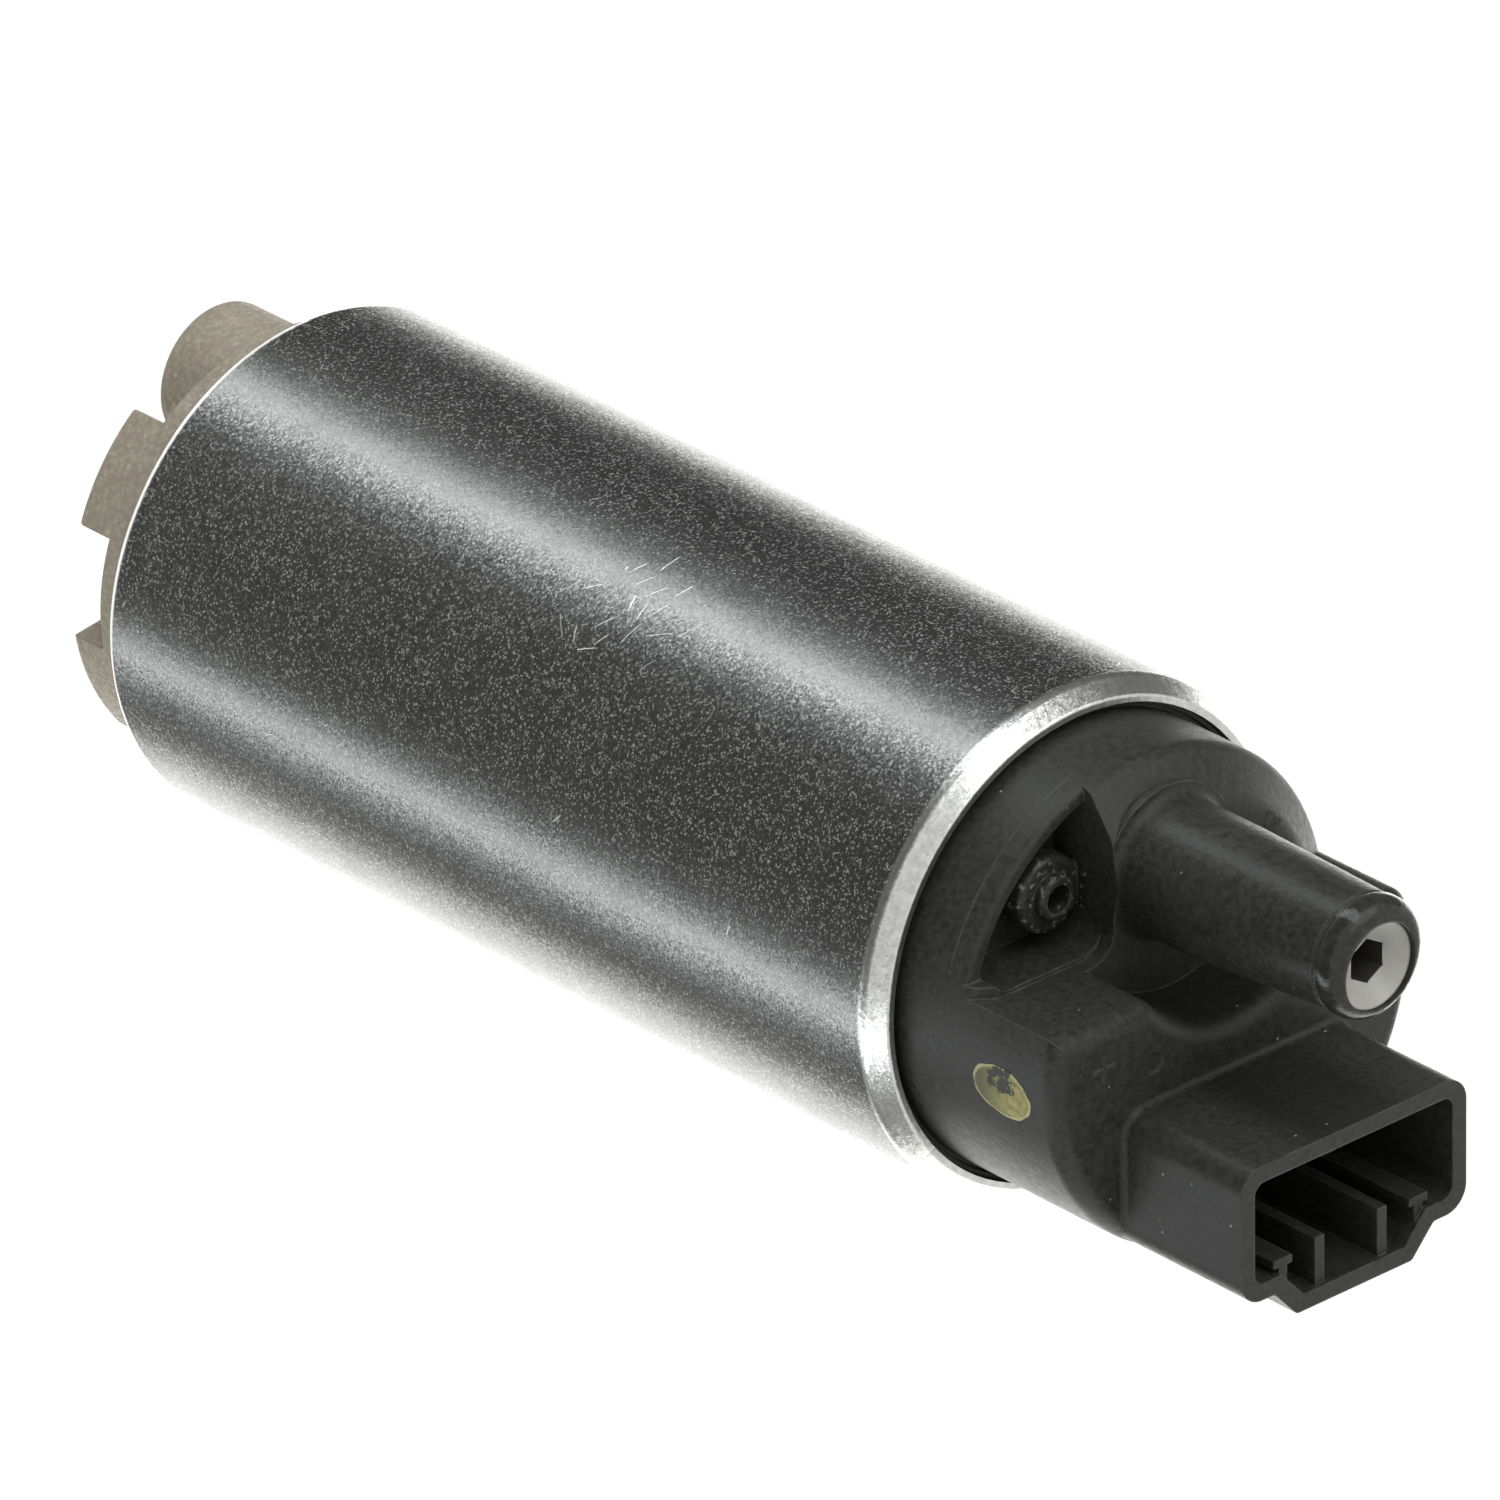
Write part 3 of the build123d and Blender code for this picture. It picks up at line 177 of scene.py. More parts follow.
# Rubbed metal on the crimped bevel, with fine marks that run round it, and on the rolled rim.
bevel = add_node(tree, "MapRange", {"Value": height, "From Min": crimp_z,
                                    "From Max": crimp_z + crimp_fade})["Result"]
rim = add_node(tree, "MapRange", {"Value": height, "From Min": rim_z,
                                  "From Max": rim_z - rim_fade})["Result"]
round_it = add_node(tree, "Mapping", {"Vector": place, "Scale": (1.0, 1.0, 9.0)})["Vector"]
rubs = clouds(tree, round_it, 1.2 * mm, detail=4.0)
fine_rubs = clouds(tree, place, 0.35 * mm)
silver = add_node(tree, "Mix", {0: rubs, 6: "#c9c9c5", 7: "#dededa"}, data_type="RGBA")[2]
silver = add_node(tree, "Mix", {0: fine_rubs, 6: "#bdbdb9", 7: silver}, data_type="RGBA")[2]
steel = add_node(tree, "Mix", {0: bevel, 6: steel, 7: silver}, data_type="RGBA")[2]
steel = add_node(tree, "Mix", {0: rim, 6: steel, 7: "#ededea"}, data_type="RGBA")[2]
rubbed = add_node(tree, "Math", {0: bevel, 1: rim}, operation="MAXIMUM")[0]

# Metal all over but for the salt, and each cell of grit is a facet that leans its own way.
dull = add_node(tree, "Math", {0: 1.0, 1: rubbed}, operation="SUBTRACT")[0]
salt = add_node(tree, "Math", {0: salt, 1: dull}, operation="MULTIPLY")[0]
bare = add_node(tree, "MapRange", {"Value": salt, "To Min": 1.0, "To Max": 0.35})["Result"]
tree.links.new(bare, shader.inputs["Metallic"])
shader.inputs["Specular Tint"].default_value = linear("#e6e6e6")
rough = clouds(tree, place, 2.5 * mm, 0.29, 0.32)
relief = dimples(tree, place, 0.6 * mm, 0.006 * mm)
relief = add_node(tree, "Bump", {"Height": marks, "Distance": -nick_depth, "Normal": relief})["Normal"]
lean = add_node(tree, "VectorMath", {0: cells["Color"], 1: (0.5, 0.5, 0.5)}, operation="SUBTRACT")[0]
lean = add_node(tree, "VectorMath", {0: lean, "Scale": facet_lean}, operation="SCALE")[0]
facets = add_node(tree, "VectorMath", {0: relief, 1: lean}, operation="ADD")[0]
facets = add_node(tree, "VectorMath", {0: facets}, operation="NORMALIZE")[0]
set_surface(tree, shader, steel, rough, facets)
dress(plated_steel, "housing_can")


# Inlet cover. A tan moulding of glass-filled polyphenylene sulphide with the strainer's boss and
# the broken rim. The glass leaves an orange-peel skin with pale fibre ends, and edges wear pale.
def grains(tree, place, size, share, strength=1.0):
    """Grains of one size in metres, of which a share stand out, each by its own strength."""
    cells = add_node(tree, "TexVoronoi", {"Vector": place, "Scale": 1 / size})
    tone = add_node(tree, "SeparateColor", {"Color": cells["Color"]})
    return add_node(tree, "MapRange", {"Value": tone["Red"], "From Min": 1 - share, "From Max": 1.0,
                                       "To Max": strength})["Result"]


def worn_edge(tree, radius, strength):
    """How much an edge is worn, up to a strength, and a normal that rounds the edge a little."""
    soft = add_node(tree, "Bevel", {"Radius": radius}, samples=4)
    flat = add_node(tree, "NewGeometry", {})
    turned = add_node(tree, "VectorMath", {0: soft["Normal"], 1: flat["Normal"]}, operation="DOT_PRODUCT")
    edge = add_node(tree, "MapRange", {"Value": turned["Value"], "From Min": 0.995, "From Max": 0.85,
                                       "To Max": strength})
    return edge["Result"], soft["Normal"]


peel_size = 0.42 * mm
peel_depth = 0.035 * mm
bend_scale = 900.0  # the peel's cells are bent in waves of about 1.1 mm
bend_reach = 0.5 * mm
glass_filled, tree, shader, place = new_material("glass_filled_pps")
bent = add_node(tree, "TexNoise", {"Vector": place, "Scale": bend_scale, "Detail": 1.0})["Color"]
shift = add_node(tree, "VectorMath", {0: bent, "Scale": bend_reach}, operation="SCALE")[0]
peel = add_node(tree, "VectorMath", {0: place, 1: shift}, operation="ADD")[0]
peel = add_node(tree, "TexVoronoi", {"Vector": peel, "Scale": 1 / peel_size, "Smoothness": 0.6},
                feature="SMOOTH_F1")["Distance"]
skin = add_node(tree, "MapRange", {"Value": peel, "From Min": 0.1, "From Max": 0.7})["Result"]
tan = add_node(tree, "Mix", {0: clouds(tree, place, 3 * mm, detail=4.0), 6: "#9d9481", 7: "#aea492"},
               data_type="RGBA")[2]
# Painted shade: the hollows of the peel are coloured a darker tan.
peel_hollow_shade = add_node(tree, "Math", {0: skin, 1: 0.5}, operation="MULTIPLY")[0]
tan = add_node(tree, "Mix", {0: peel_hollow_shade, 6: tan, 7: "#807566"}, data_type="RGBA")[2]
fibres = grains(tree, place, 0.3 * mm, 0.1, 0.35)
tan = add_node(tree, "Mix", {0: fibres, 6: tan, 7: "#c9c0ac"}, data_type="RGBA")[2]
edge, soft_normal = worn_edge(tree, 0.35 * mm, 0.3)
tan = add_node(tree, "Mix", {0: edge, 6: tan, 7: "#c0b7a2"}, data_type="RGBA")[2]
rough = add_node(tree, "MapRange", {"Value": skin, "To Min": 0.5, "To Max": 0.68})["Result"]
shader.inputs["Specular IOR Level"].default_value = 0.35
relief = add_node(tree, "Bump", {"Height": skin, "Distance": -peel_depth, "Normal": soft_normal})
set_surface(tree, shader, tan, rough, relief["Normal"])
dress(glass_filled, "inlet_cover")


# Pump casing and impeller. Both are phenolic with glass and mineral, pressed in a mould and ground
# flat where they run together: brown-black and matt, with the filler's light specks.
def moulded(name, dark, light, speck, speck_size, rough, depth, specular=0.35):
    """Moulded plastic: colour between two tones, specks of filler, soft skin relief."""
    made, tree, shader, place = new_material(name)
    tone = add_node(tree, "Mix", {0: clouds(tree, place, 2.5 * mm, detail=4.0), 6: dark, 7: light},
                    data_type="RGBA")[2]
    filler = grains(tree, place, speck_size, 0.08, 0.6)
    tone = add_node(tree, "Mix", {0: filler, 6: tone, 7: speck}, data_type="RGBA")[2]
    edge, soft_normal = worn_edge(tree, 0.15 * mm, 0.3)
    tone = add_node(tree, "Mix", {0: edge, 6: tone, 7: speck}, data_type="RGBA")[2]
    shader.inputs["Specular IOR Level"].default_value = specular
    set_surface(tree, shader, tone, clouds(tree, place, 0.8 * mm, rough - 0.06, rough + 0.06),
                dimples(tree, place, 0.4 * mm, depth, soft_normal))
    return made


phenolic = moulded("pressed_phenolic", "#1f1b18", "#2b2622", "#6e6558", 0.3 * mm, 0.6, 0.02 * mm)
dress(phenolic, "pump_casing", "impeller")


# Shaft, thrust pin and relief valve ball. Hardened steel, ground bright: fine rings run round the
# axis, with a few darker stains of varnish from the fuel.
def ground_metal(name, dark, light, rough, lines, depth, stain="#5c554a", stain_and_painted_shade=0.25):
    """Ground or turned metal: long lines round the axis, stains, brushed relief."""
    made, tree, shader, place = new_material(name, metallic=1.0)
    stretch = add_node(tree, "Mapping", {"Vector": place, "Scale": (40.0, 40.0, 1 / lines)})["Vector"]
    rings = clouds(tree, stretch, 1.0)
    tone = add_node(tree, "Mix", {0: rings, 6: dark, 7: light}, data_type="RGBA")[2]
    stains = clouds(tree, place, 4 * mm, -1.2 * stain_and_painted_shade, stain_and_painted_shade, detail=4.0)
    stains = add_node(tree, "Math", {0: stains, 1: 0.0}, operation="MAXIMUM")[0]
    tone = add_node(tree, "Mix", {0: stains, 6: tone, 7: stain}, data_type="RGBA")[2]
    dulled = add_node(tree, "MapRange", {"Value": rings, "To Min": rough - 0.05, "To Max": rough + 0.07})
    relief = add_node(tree, "Bump", {"Height": rings, "Distance": depth})["Normal"]
    set_surface(tree, shader, tone, dulled["Result"], relief)
    return made


ground_steel = ground_metal("ground_steel", "#a9a9ab", "#c6c6c8", 0.24, 0.08 * mm, 0.002 * mm)
dress(ground_steel, "shaft", "thrust_pin", "relief_valve_ball")

# Bushes. Bronze powder, pressed and sintered, then soaked in oil: warm, with open dark pores.
pore_gap = 0.25 * mm
bronze, tree, shader, place = new_material("sintered_bronze", metallic=1.0)
pores = add_node(tree, "TexVoronoi", {"Vector": place, "Scale": 1 / pore_gap})["Distance"]
pore = add_node(tree, "MapRange", {"Value": pores, "From Min": 0.12, "From Max": 0.3})["Result"]
tone = add_node(tree, "Mix", {0: clouds(tree, place, 1.5 * mm), 6: "#8f7146", 7: "#b08d58"},
                data_type="RGBA")[2]
tone = add_node(tree, "Mix", {0: pore, 6: "#4a3a24", 7: tone}, data_type="RGBA")[2]
rough = add_node(tree, "MapRange", {"Value": pore, "To Min": 0.65, "To Max": 0.38})["Result"]
relief = add_node(tree, "Bump", {"Height": pore, "Distance": 0.02 * mm})["Normal"]
set_surface(tree, shader, tone, rough, relief)
dress(bronze, "lower_bush", "upper_bush")

# Armature core. Stamped sheets of silicon steel, 0.5 mm thick, stacked and pressed on the shaft:
# the stack shows as fine lines round it, the skin is blued and a little rusty.
sheet_t = 0.5 * mm
laminations, tree, shader, place = new_material("stacked_silicon_steel", metallic=1.0)
sheets = add_node(tree, "TexWave", {"Vector": place, "Scale": pi / (10 * sheet_t), "Distortion": 0.3,
                                    "Detail": 1.0}, wave_type="BANDS", bands_direction="Z")["Fac"]
sheet = add_node(tree, "MapRange", {"Value": sheets, "From Min": 0.05, "From Max": 0.3})["Result"]
tone = add_node(tree, "Mix", {0: clouds(tree, place, 3 * mm, detail=4.0), 6: "#5d5f66", 7: "#85868a"},
                data_type="RGBA")[2]
rust = clouds(tree, place, 1.2 * mm, -0.8, 0.5, detail=4.0)
rust = add_node(tree, "Math", {0: rust, 1: 0.0}, operation="MAXIMUM")[0]
tone = add_node(tree, "Mix", {0: rust, 6: tone, 7: "#7a5a40"}, data_type="RGBA")[2]
tone = add_node(tree, "Mix", {0: sheet, 6: "#2d2d30", 7: tone}, data_type="RGBA")[2]
rough = add_node(tree, "MapRange", {"Value": sheet, "To Min": 0.6, "To Max": 0.4})["Result"]
relief = add_node(tree, "Bump", {"Height": sheet, "Distance": 0.03 * mm})["Normal"]
set_surface(tree, shader, tone, rough, relief)
dress(laminations, "armature_core")

# Windings and choke coils. Copper wire in red-brown enamel, 0.35 mm thick: the turns lie side by
# side as fine ridges that shine on their crowns.
wire_t = 0.35 * mm
enamelled, tree, shader, place = new_material("enamelled_copper_wire", metallic=0.85)
crown = add_node(tree, "TexWave", {"Vector": place, "Scale": pi / (10 * wire_t), "Distortion": 1.5,
                                   "Detail": 1.0, "Detail Scale": 60.0}, wave_type="BANDS",
                 bands_direction="DIAGONAL")["Fac"]
tone = add_node(tree, "Mix", {0: clouds(tree, place, 2 * mm), 6: "#7c3c22", 7: "#a85a34"},
                data_type="RGBA")[2]
# Painted shade: the valleys between the turns are coloured almost black.
tone = add_node(tree, "Mix", {0: crown, 6: "#3a1a0f", 7: tone}, data_type="RGBA")[2]
rough = add_node(tree, "MapRange", {"Value": crown, "To Min": 0.45, "To Max": 0.25})["Result"]
relief = add_node(tree, "Bump", {"Height": crown, "Distance": 0.08 * mm})["Normal"]
set_surface(tree, shader, tone, rough, relief)
dress(enamelled, "armature_windings", "choke_coils")

# Armature insulators and thrust washers. White nylon and acetal mouldings, a little yellowed.
nylon = moulded("white_nylon", "#cfc9b8", "#ddd8ca", "#b9ae93", 0.5 * mm, 0.42, 0.008 * mm)
dress(nylon, "armature_insulators", "thrust_washers")

# Commutator. Eight copper segments pressed into a phenolic disc and turned flat: the brushes leave
# a brown film in rings.
dress(phenolic, "commutator_base")
copper = ground_metal("turned_copper", "#a8623f", "#c97f58", 0.3, 0.12 * mm, 0.003 * mm, "#5a3a2c", 0.6)
dress(copper, "commutator_segments")

# Magnets and choke cores. Ferrite powder pressed and fired like china, then ground: grey-black
# with a dull sparkle and small chips along its edges.
ferrite, tree, shader, place = new_material("fired_ferrite", metallic=0.3)
tone = add_node(tree, "Mix", {0: clouds(tree, place, 2 * mm, detail=4.0), 6: "#2b2b2e", 7: "#3c3c40"},
                data_type="RGBA")[2]
sparkle = grains(tree, place, 0.12 * mm, 0.1, 0.7)
tone = add_node(tree, "Mix", {0: sparkle, 6: tone, 7: "#6f6f75"}, data_type="RGBA")[2]
edge, soft_normal = worn_edge(tree, 0.2 * mm, 1.0)
chipped = add_node(tree, "Math", {0: edge, 1: clouds(tree, place, 0.6 * mm)}, operation="MULTIPLY")[0]
tone = add_node(tree, "Mix", {0: chipped, 6: tone, 7: "#1b1b1d"}, data_type="RGBA")[2]
set_surface(tree, shader, tone, clouds(tree, place, 0.25 * mm, 0.45, 0.62),
            dimples(tree, place, 0.3 * mm, 0.015 * mm, soft_normal))
dress(ferrite, "magnet_a", "magnet_b", "choke_cores")

# Magnet clips and the springs. Spring steel strip and wire, drawn and blued: drawing lines run
# along it and the heat left straw and blue tints.
spring_steel, tree, shader, place = new_material("drawn_spring_steel", metallic=1.0)
tone = add_node(tree, "Mix", {0: clouds(tree, place, 3 * mm), 6: "#7d7f86", 7: "#a9a8a4"},
                data_type="RGBA")[2]
straw = clouds(tree, place, 5 * mm, 0.0, 0.4)
tone = add_node(tree, "Mix", {0: straw, 6: tone, 7: "#7a6a4e"}, data_type="RGBA")[2]
set_surface(tree, shader, tone, clouds(tree, place, 3 * mm, 0.26, 0.36),
            dimples(tree, place, 0.12 * mm, 0.004 * mm))
dress(spring_steel, "magnet_clips", "brush_spring_a", "brush_spring_b", "check_valve_spring",
      "relief_valve_spring")

# Bearing holder. A natural-coloured polyphenylene sulphide moulding that carries the upper bush,
# the brush boxes and the chokes.
holder_plastic = moulded("natural_pps", "#8c7d5f", "#a19171", "#cabd9d", 0.35 * mm, 0.52, 0.03 * mm)
dress(holder_plastic, "bearing_holder")

# Brushes. Carbon with copper powder, pressed and fired: soft grey-black with fine metal grains
# and rubbed shiny lines along the box.
rub_scale = (4000.0, 4000.0, 150.0)  # lines 0.25 mm apart and about 7 mm long
carbon, tree, shader, place = new_material("pressed_carbon", metallic=0.4)
tone = add_node(tree, "Mix", {0: clouds(tree, place, 1.5 * mm, detail=4.0), 6: "#1e1e20", 7: "#2d2d2f"},
                data_type="RGBA")[2]
powder = grains(tree, place, 0.15 * mm, 0.07, 0.8)
tone = add_node(tree, "Mix", {0: powder, 6: tone, 7: "#8a6148"}, data_type="RGBA")[2]
stretch = add_node(tree, "Mapping", {"Vector": place, "Scale": rub_scale})["Vector"]
rubs = clouds(tree, stretch, 0.6)
rough = add_node(tree, "MapRange", {"Value": rubs, "To Min": 0.35, "To Max": 0.6})["Result"]
relief = add_node(tree, "Bump", {"Height": rubs, "Distance": 0.006 * mm})["Normal"]
set_surface(tree, shader, tone, rough, relief)
dress(carbon, "brush_a", "brush_b")

# Pigtails. Leads of thin copper wires, braided round: the strands cross as a fine diamond weave.
strand = 0.25 * mm
braid, tree, shader, place = new_material("braided_copper", metallic=1.0)
turned_back = add_node(tree, "Mapping", {"Vector": place, "Scale": (1.0, 1.0, -1.0)})["Vector"]
one_way, other_way = [
    add_node(tree, "TexWave", {"Vector": way, "Scale": pi / (10 * strand)}, wave_type="BANDS",
             bands_direction="DIAGONAL")["Fac"]
    for way in (place, turned_back)
]
weave = add_node(tree, "Math", {0: one_way, 1: other_way}, operation="MAXIMUM")[0]
# Painted shade: the gaps between the strands are coloured dark brown.
tone = add_node(tree, "Mix", {0: weave, 6: "#5f3320", 7: "#c27a52"}, data_type="RGBA")[2]
rough = add_node(tree, "MapRange", {"Value": weave, "To Min": 0.5, "To Max": 0.3})["Result"]
relief = add_node(tree, "Bump", {"Height": weave, "Distance": 0.06 * mm})["Normal"]
set_surface(tree, shader, tone, rough, relief)
dress(braid, "pigtail_a", "pigtail_b")

# Terminals. Brass blades, blanked and tin plated: grey-white and soft, scratched along the blade
# where plugs went on, with brass showing at rubbed edges.
scratch_scale = (5000.0, 5000.0, 120.0)  # scratches 0.2 mm apart and about 8 mm long
tinned, tree, shader, place = new_material("tin_plated_brass", metallic=1.0)
stretch = add_node(tree, "Mapping", {"Vector": place, "Scale": scratch_scale})["Vector"]
lines = clouds(tree, stretch, 0.6)
tone = add_node(tree, "Mix", {0: lines, 6: "#8e8c86", 7: "#b3b1aa"}, data_type="RGBA")[2]
edge, soft_normal = worn_edge(tree, 0.08 * mm, 0.7)
rubbed = add_node(tree, "Math", {0: edge, 1: clouds(tree, place, 0.7 * mm)}, operation="MULTIPLY")[0]
tone = add_node(tree, "Mix", {0: rubbed, 6: tone, 7: "#a8864a"}, data_type="RGBA")[2]
rough = add_node(tree, "MapRange", {"Value": lines, "To Min": 0.34, "To Max": 0.48})["Result"]
relief = add_node(tree, "Bump", {"Height": lines, "Distance": 0.004 * mm, "Normal": soft_normal})
set_surface(tree, shader, tone, rough, relief["Normal"])
dress(tinned, "terminal_a", "terminal_b")

# End cover. A black moulding of glass-filled acetal with the outlet nozzle and the plug socket.
# Its skin is satin and finely mottled, its edges are worn paler, dust lies on it, the nozzle's bead
# is polished by the mould, and a faint ridge shows where two halves of the mould met.
black_acetal, tree, shader, place = new_material("black_glass_filled_acetal")
parts = add_node(tree, "SeparateXYZ", {"Vector": place})
mottle = clouds(tree, place, 0.3 * mm, detail=4.0)
black = add_node(tree, "Mix", {0: clouds(tree, place, 5 * mm), 6: "#252522", 7: "#2e2e2a"},
                 data_type="RGBA")[2]
fine = add_node(tree, "Math", {0: mottle, 1: 0.8}, operation="MULTIPLY")[0]
black = add_node(tree, "Mix", {0: fine, 6: black, 7: "#40403a"}, data_type="RGBA")[2]
edge, soft_normal = worn_edge(tree, 0.22 * mm, 1.0)
broken = clouds(tree, place, 0.8 * mm, 0.1, 0.8)
wear = add_node(tree, "Math", {0: edge, 1: broken}, operation="MULTIPLY")[0]
black = add_node(tree, "Mix", {0: wear, 6: black, 7: "#6f6f68"}, data_type="RGBA")[2]

# Dust: small round flecks on one in ten of the places 1.3 mm apart.
dust_gap = 1.3 * mm
dust_share = 0.1
fleck_r, fleck_core = 0.09, 0.05  # in gaps
flecks = add_node(tree, "TexVoronoi", {"Vector": place, "Scale": 1 / dust_gap})
near = add_node(tree, "MapRange", {"Value": flecks["Distance"], "From Min": fleck_r,
                                   "From Max": fleck_core})["Result"]
chance = add_node(tree, "SeparateColor", {"Color": flecks["Color"]})["Red"]
chosen = add_node(tree, "Math", {0: chance, 1: 1 - dust_share}, operation="GREATER_THAN")[0]
dust = add_node(tree, "Math", {0: near, 1: chosen}, operation="MULTIPLY")[0]
black = add_node(tree, "Mix", {0: dust, 6: black, 7: "#a2a29a"}, data_type="RGBA")[2]

# The boss over the relief valve's ball is rubbed pale and shiny by the tool that set the valve.
boss_r = 2.93 * mm
boss_top = 84.9 * mm
ball_low, ball_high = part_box("relief_valve_ball")
boss_at = [(ball_low[axis] + ball_high[axis]) / 2 for axis in (0, 1)] + [0.0]
flat = add_node(tree, "VectorMath", {0: place, 1: (1.0, 1.0, 0.0)}, operation="MULTIPLY")[0]
boss_off = add_node(tree, "VectorMath", {0: flat, 1: boss_at}, operation="DISTANCE")["Value"]
boss = add_node(tree, "MapRange", {"Value": boss_off, "From Min": boss_r,
                                   "From Max": boss_r - 0.05 * mm})["Result"]
under_top = add_node(tree, "Math", {0: parts["Z"], 1: boss_top}, operation="LESS_THAN")[0]
boss = add_node(tree, "Math", {0: boss, 1: under_top}, operation="MULTIPLY")[0]
scuffs = clouds(tree, place, 0.3 * mm, -2.6, 1.1, detail=5.0)
scuffs = add_node(tree, "Math", {0: scuffs, 1: 0.0}, operation="MAXIMUM")[0]
scuffs = add_node(tree, "Math", {0: scuffs, 1: boss}, operation="MULTIPLY")[0]
black = add_node(tree, "Mix", {0: scuffs, 6: black, 7: "#85857f"}, data_type="RGBA")[2]

# Gloss: the bead and the relief valve's boss are polished, the nozzle a little, the rest is satin.
bead_z = 105.9 * mm
bead_gloss = 0.24
nozzle_gloss = 0.08
boss_gloss = 0.26
nozzle_y = 5.0 * mm
nozzle_z = 89.5 * mm
bead = add_node(tree, "MapRange", {"Value": parts["Z"], "From Min": bead_z, "From Max": bead_z + 0.4 * mm,
                                   "To Max": bead_gloss})["Result"]
nozzle_side = add_node(tree, "Math", {0: parts["Y"], 1: nozzle_y}, operation="GREATER_THAN")[0]
above = add_node(tree, "Math", {0: parts["Z"], 1: nozzle_z}, operation="GREATER_THAN")[0]
nozzle = add_node(tree, "Math", {0: nozzle_side, 1: above}, operation="MULTIPLY")[0]
gloss = add_node(tree, "Math", {0: nozzle, 1: nozzle_gloss, 2: bead}, operation="MULTIPLY_ADD")[0]
gloss = add_node(tree, "Math", {0: boss, 1: boss_gloss, 2: gloss}, operation="MULTIPLY_ADD")[0]
rough = add_node(tree, "MapRange", {"Value": mottle, "To Min": 0.40, "To Max": 0.54})["Result"]
rough = add_node(tree, "Math", {0: rough, 1: gloss}, operation="SUBTRACT")[0]
shader.inputs["Specular IOR Level"].default_value = 0.26

# The mould's ridge, 0.2 mm wide, pale and broken, on the drum's wall from the nozzle to the pocket.
ridge_z = 83.0 * mm
ridge_foot, ridge_crest = 0.14 * mm, 0.05 * mm  # half widths
ridge_end_x = -4.5 * mm
ridge_height = 0.06 * mm
wall_r = 16.3 * mm
ridge = add_node(tree, "Math", {0: parts["Z"], 1: ridge_z}, operation="SUBTRACT")[0]
ridge = add_node(tree, "Math", {0: ridge}, operation="ABSOLUTE")[0]
ridge = add_node(tree, "MapRange", {"Value": ridge, "From Min": ridge_foot,
                                    "From Max": ridge_crest})["Result"]
ridge = add_node(tree, "Math", {0: ridge, 1: nozzle_side}, operation="MULTIPLY")[0]
from_axis = add_node(tree, "VectorMath", {0: flat}, operation="LENGTH")["Value"]
on_wall = add_node(tree, "Math", {0: from_axis, 1: wall_r}, operation="GREATER_THAN")[0]
ridge = add_node(tree, "Math", {0: ridge, 1: on_wall}, operation="MULTIPLY")[0]
pocket_side = add_node(tree, "MapRange", {"Value": parts["X"], "From Min": ridge_end_x,
                                          "From Max": ridge_end_x - 1 * mm})["Result"]
ridge = add_node(tree, "Math", {0: ridge, 1: pocket_side}, operation="MULTIPLY")[0]
faded = clouds(tree, place, 3 * mm, 0.1, 1.0)
ridge = add_node(tree, "Math", {0: ridge, 1: faded}, operation="MULTIPLY")[0]
pale = add_node(tree, "Math", {0: ridge, 1: 0.5}, operation="MULTIPLY")[0]
black = add_node(tree, "Mix", {0: pale, 6: black, 7: "#66665f"}, data_type="RGBA")[2]

# Relief: fine skin, broad unevenness, and the ridge.
relief = dimples(tree, place, 0.25 * mm, 0.03 * mm, soft_normal)
relief = dimples(tree, place, 2.5 * mm, 0.05 * mm, relief)
relief = add_node(tree, "Bump", {"Height": ridge, "Distance": ridge_height, "Normal": relief})["Normal"]
set_surface(tree, shader, black, rough, relief)
dress(black_acetal, "end_cover")

# Paint dot. A daub of yellow marking paint on the end cover's side, put on after the pump passed
# its test: a thin oval film, and the middle of its upper part is worn through to the black.
dot_r = 16.7 * mm
dot_angle = radians(184.8)
dot_z = 88.9 * mm
dot_half_wide = 1.85 * mm
dot_half_long = 2.85 * mm
dot_rings = 5
ring_share = 0.17  # a ring's width, of the dot's half width
film_t = 0.05 * mm
film_r = dot_r + 0.02 * mm
bpy.ops.object.select_all(action="DESELECT")
bpy.ops.mesh.primitive_circle_add(vertices=96, radius=1.0, fill_type="NGON")
dot = bpy.context.object
dot.name = "paint_dot"
bpy.ops.object.mode_set(mode="EDIT")
bpy.ops.mesh.select_all(action="SELECT")
for _ in range(dot_rings):
    bpy.ops.mesh.inset(thickness=ring_share)
bpy.ops.object.mode_set(mode="OBJECT")
# The round disc is drawn out to the oval, its outline wavers, and it is laid on the drum's wall.
for vertex in dot.data.vertices:
    x, y = vertex.co.x, vertex.co.y
    turn = atan2(y, x)
    ragged = 1.0 + 0.03 * sin(2 * turn + 0.6) + 0.02 * sin(5 * turn) + 0.012 * sin(11 * turn + 2.0)
    across = x * ragged * dot_half_wide
    along = y * ragged * dot_half_long
    angle = dot_angle + across / dot_r
    vertex.co = (film_r * cos(angle), film_r * sin(angle), dot_z + along)
bpy.ops.object.mode_set(mode="EDIT")
bpy.ops.mesh.select_all(action="SELECT")
bpy.ops.mesh.normals_make_consistent(inside=False)
bpy.ops.object.mode_set(mode="OBJECT")
if dot.data.polygons[0].normal.x > 0:
    dot.data.flip_normals()
film = dot.modifiers.new("film", "SOLIDIFY")
film.thickness = film_t
film.offset = 0.0
bpy.ops.object.modifier_apply(modifier="film")
bpy.ops.object.shade_smooth_by_angle(angle=radians(40))

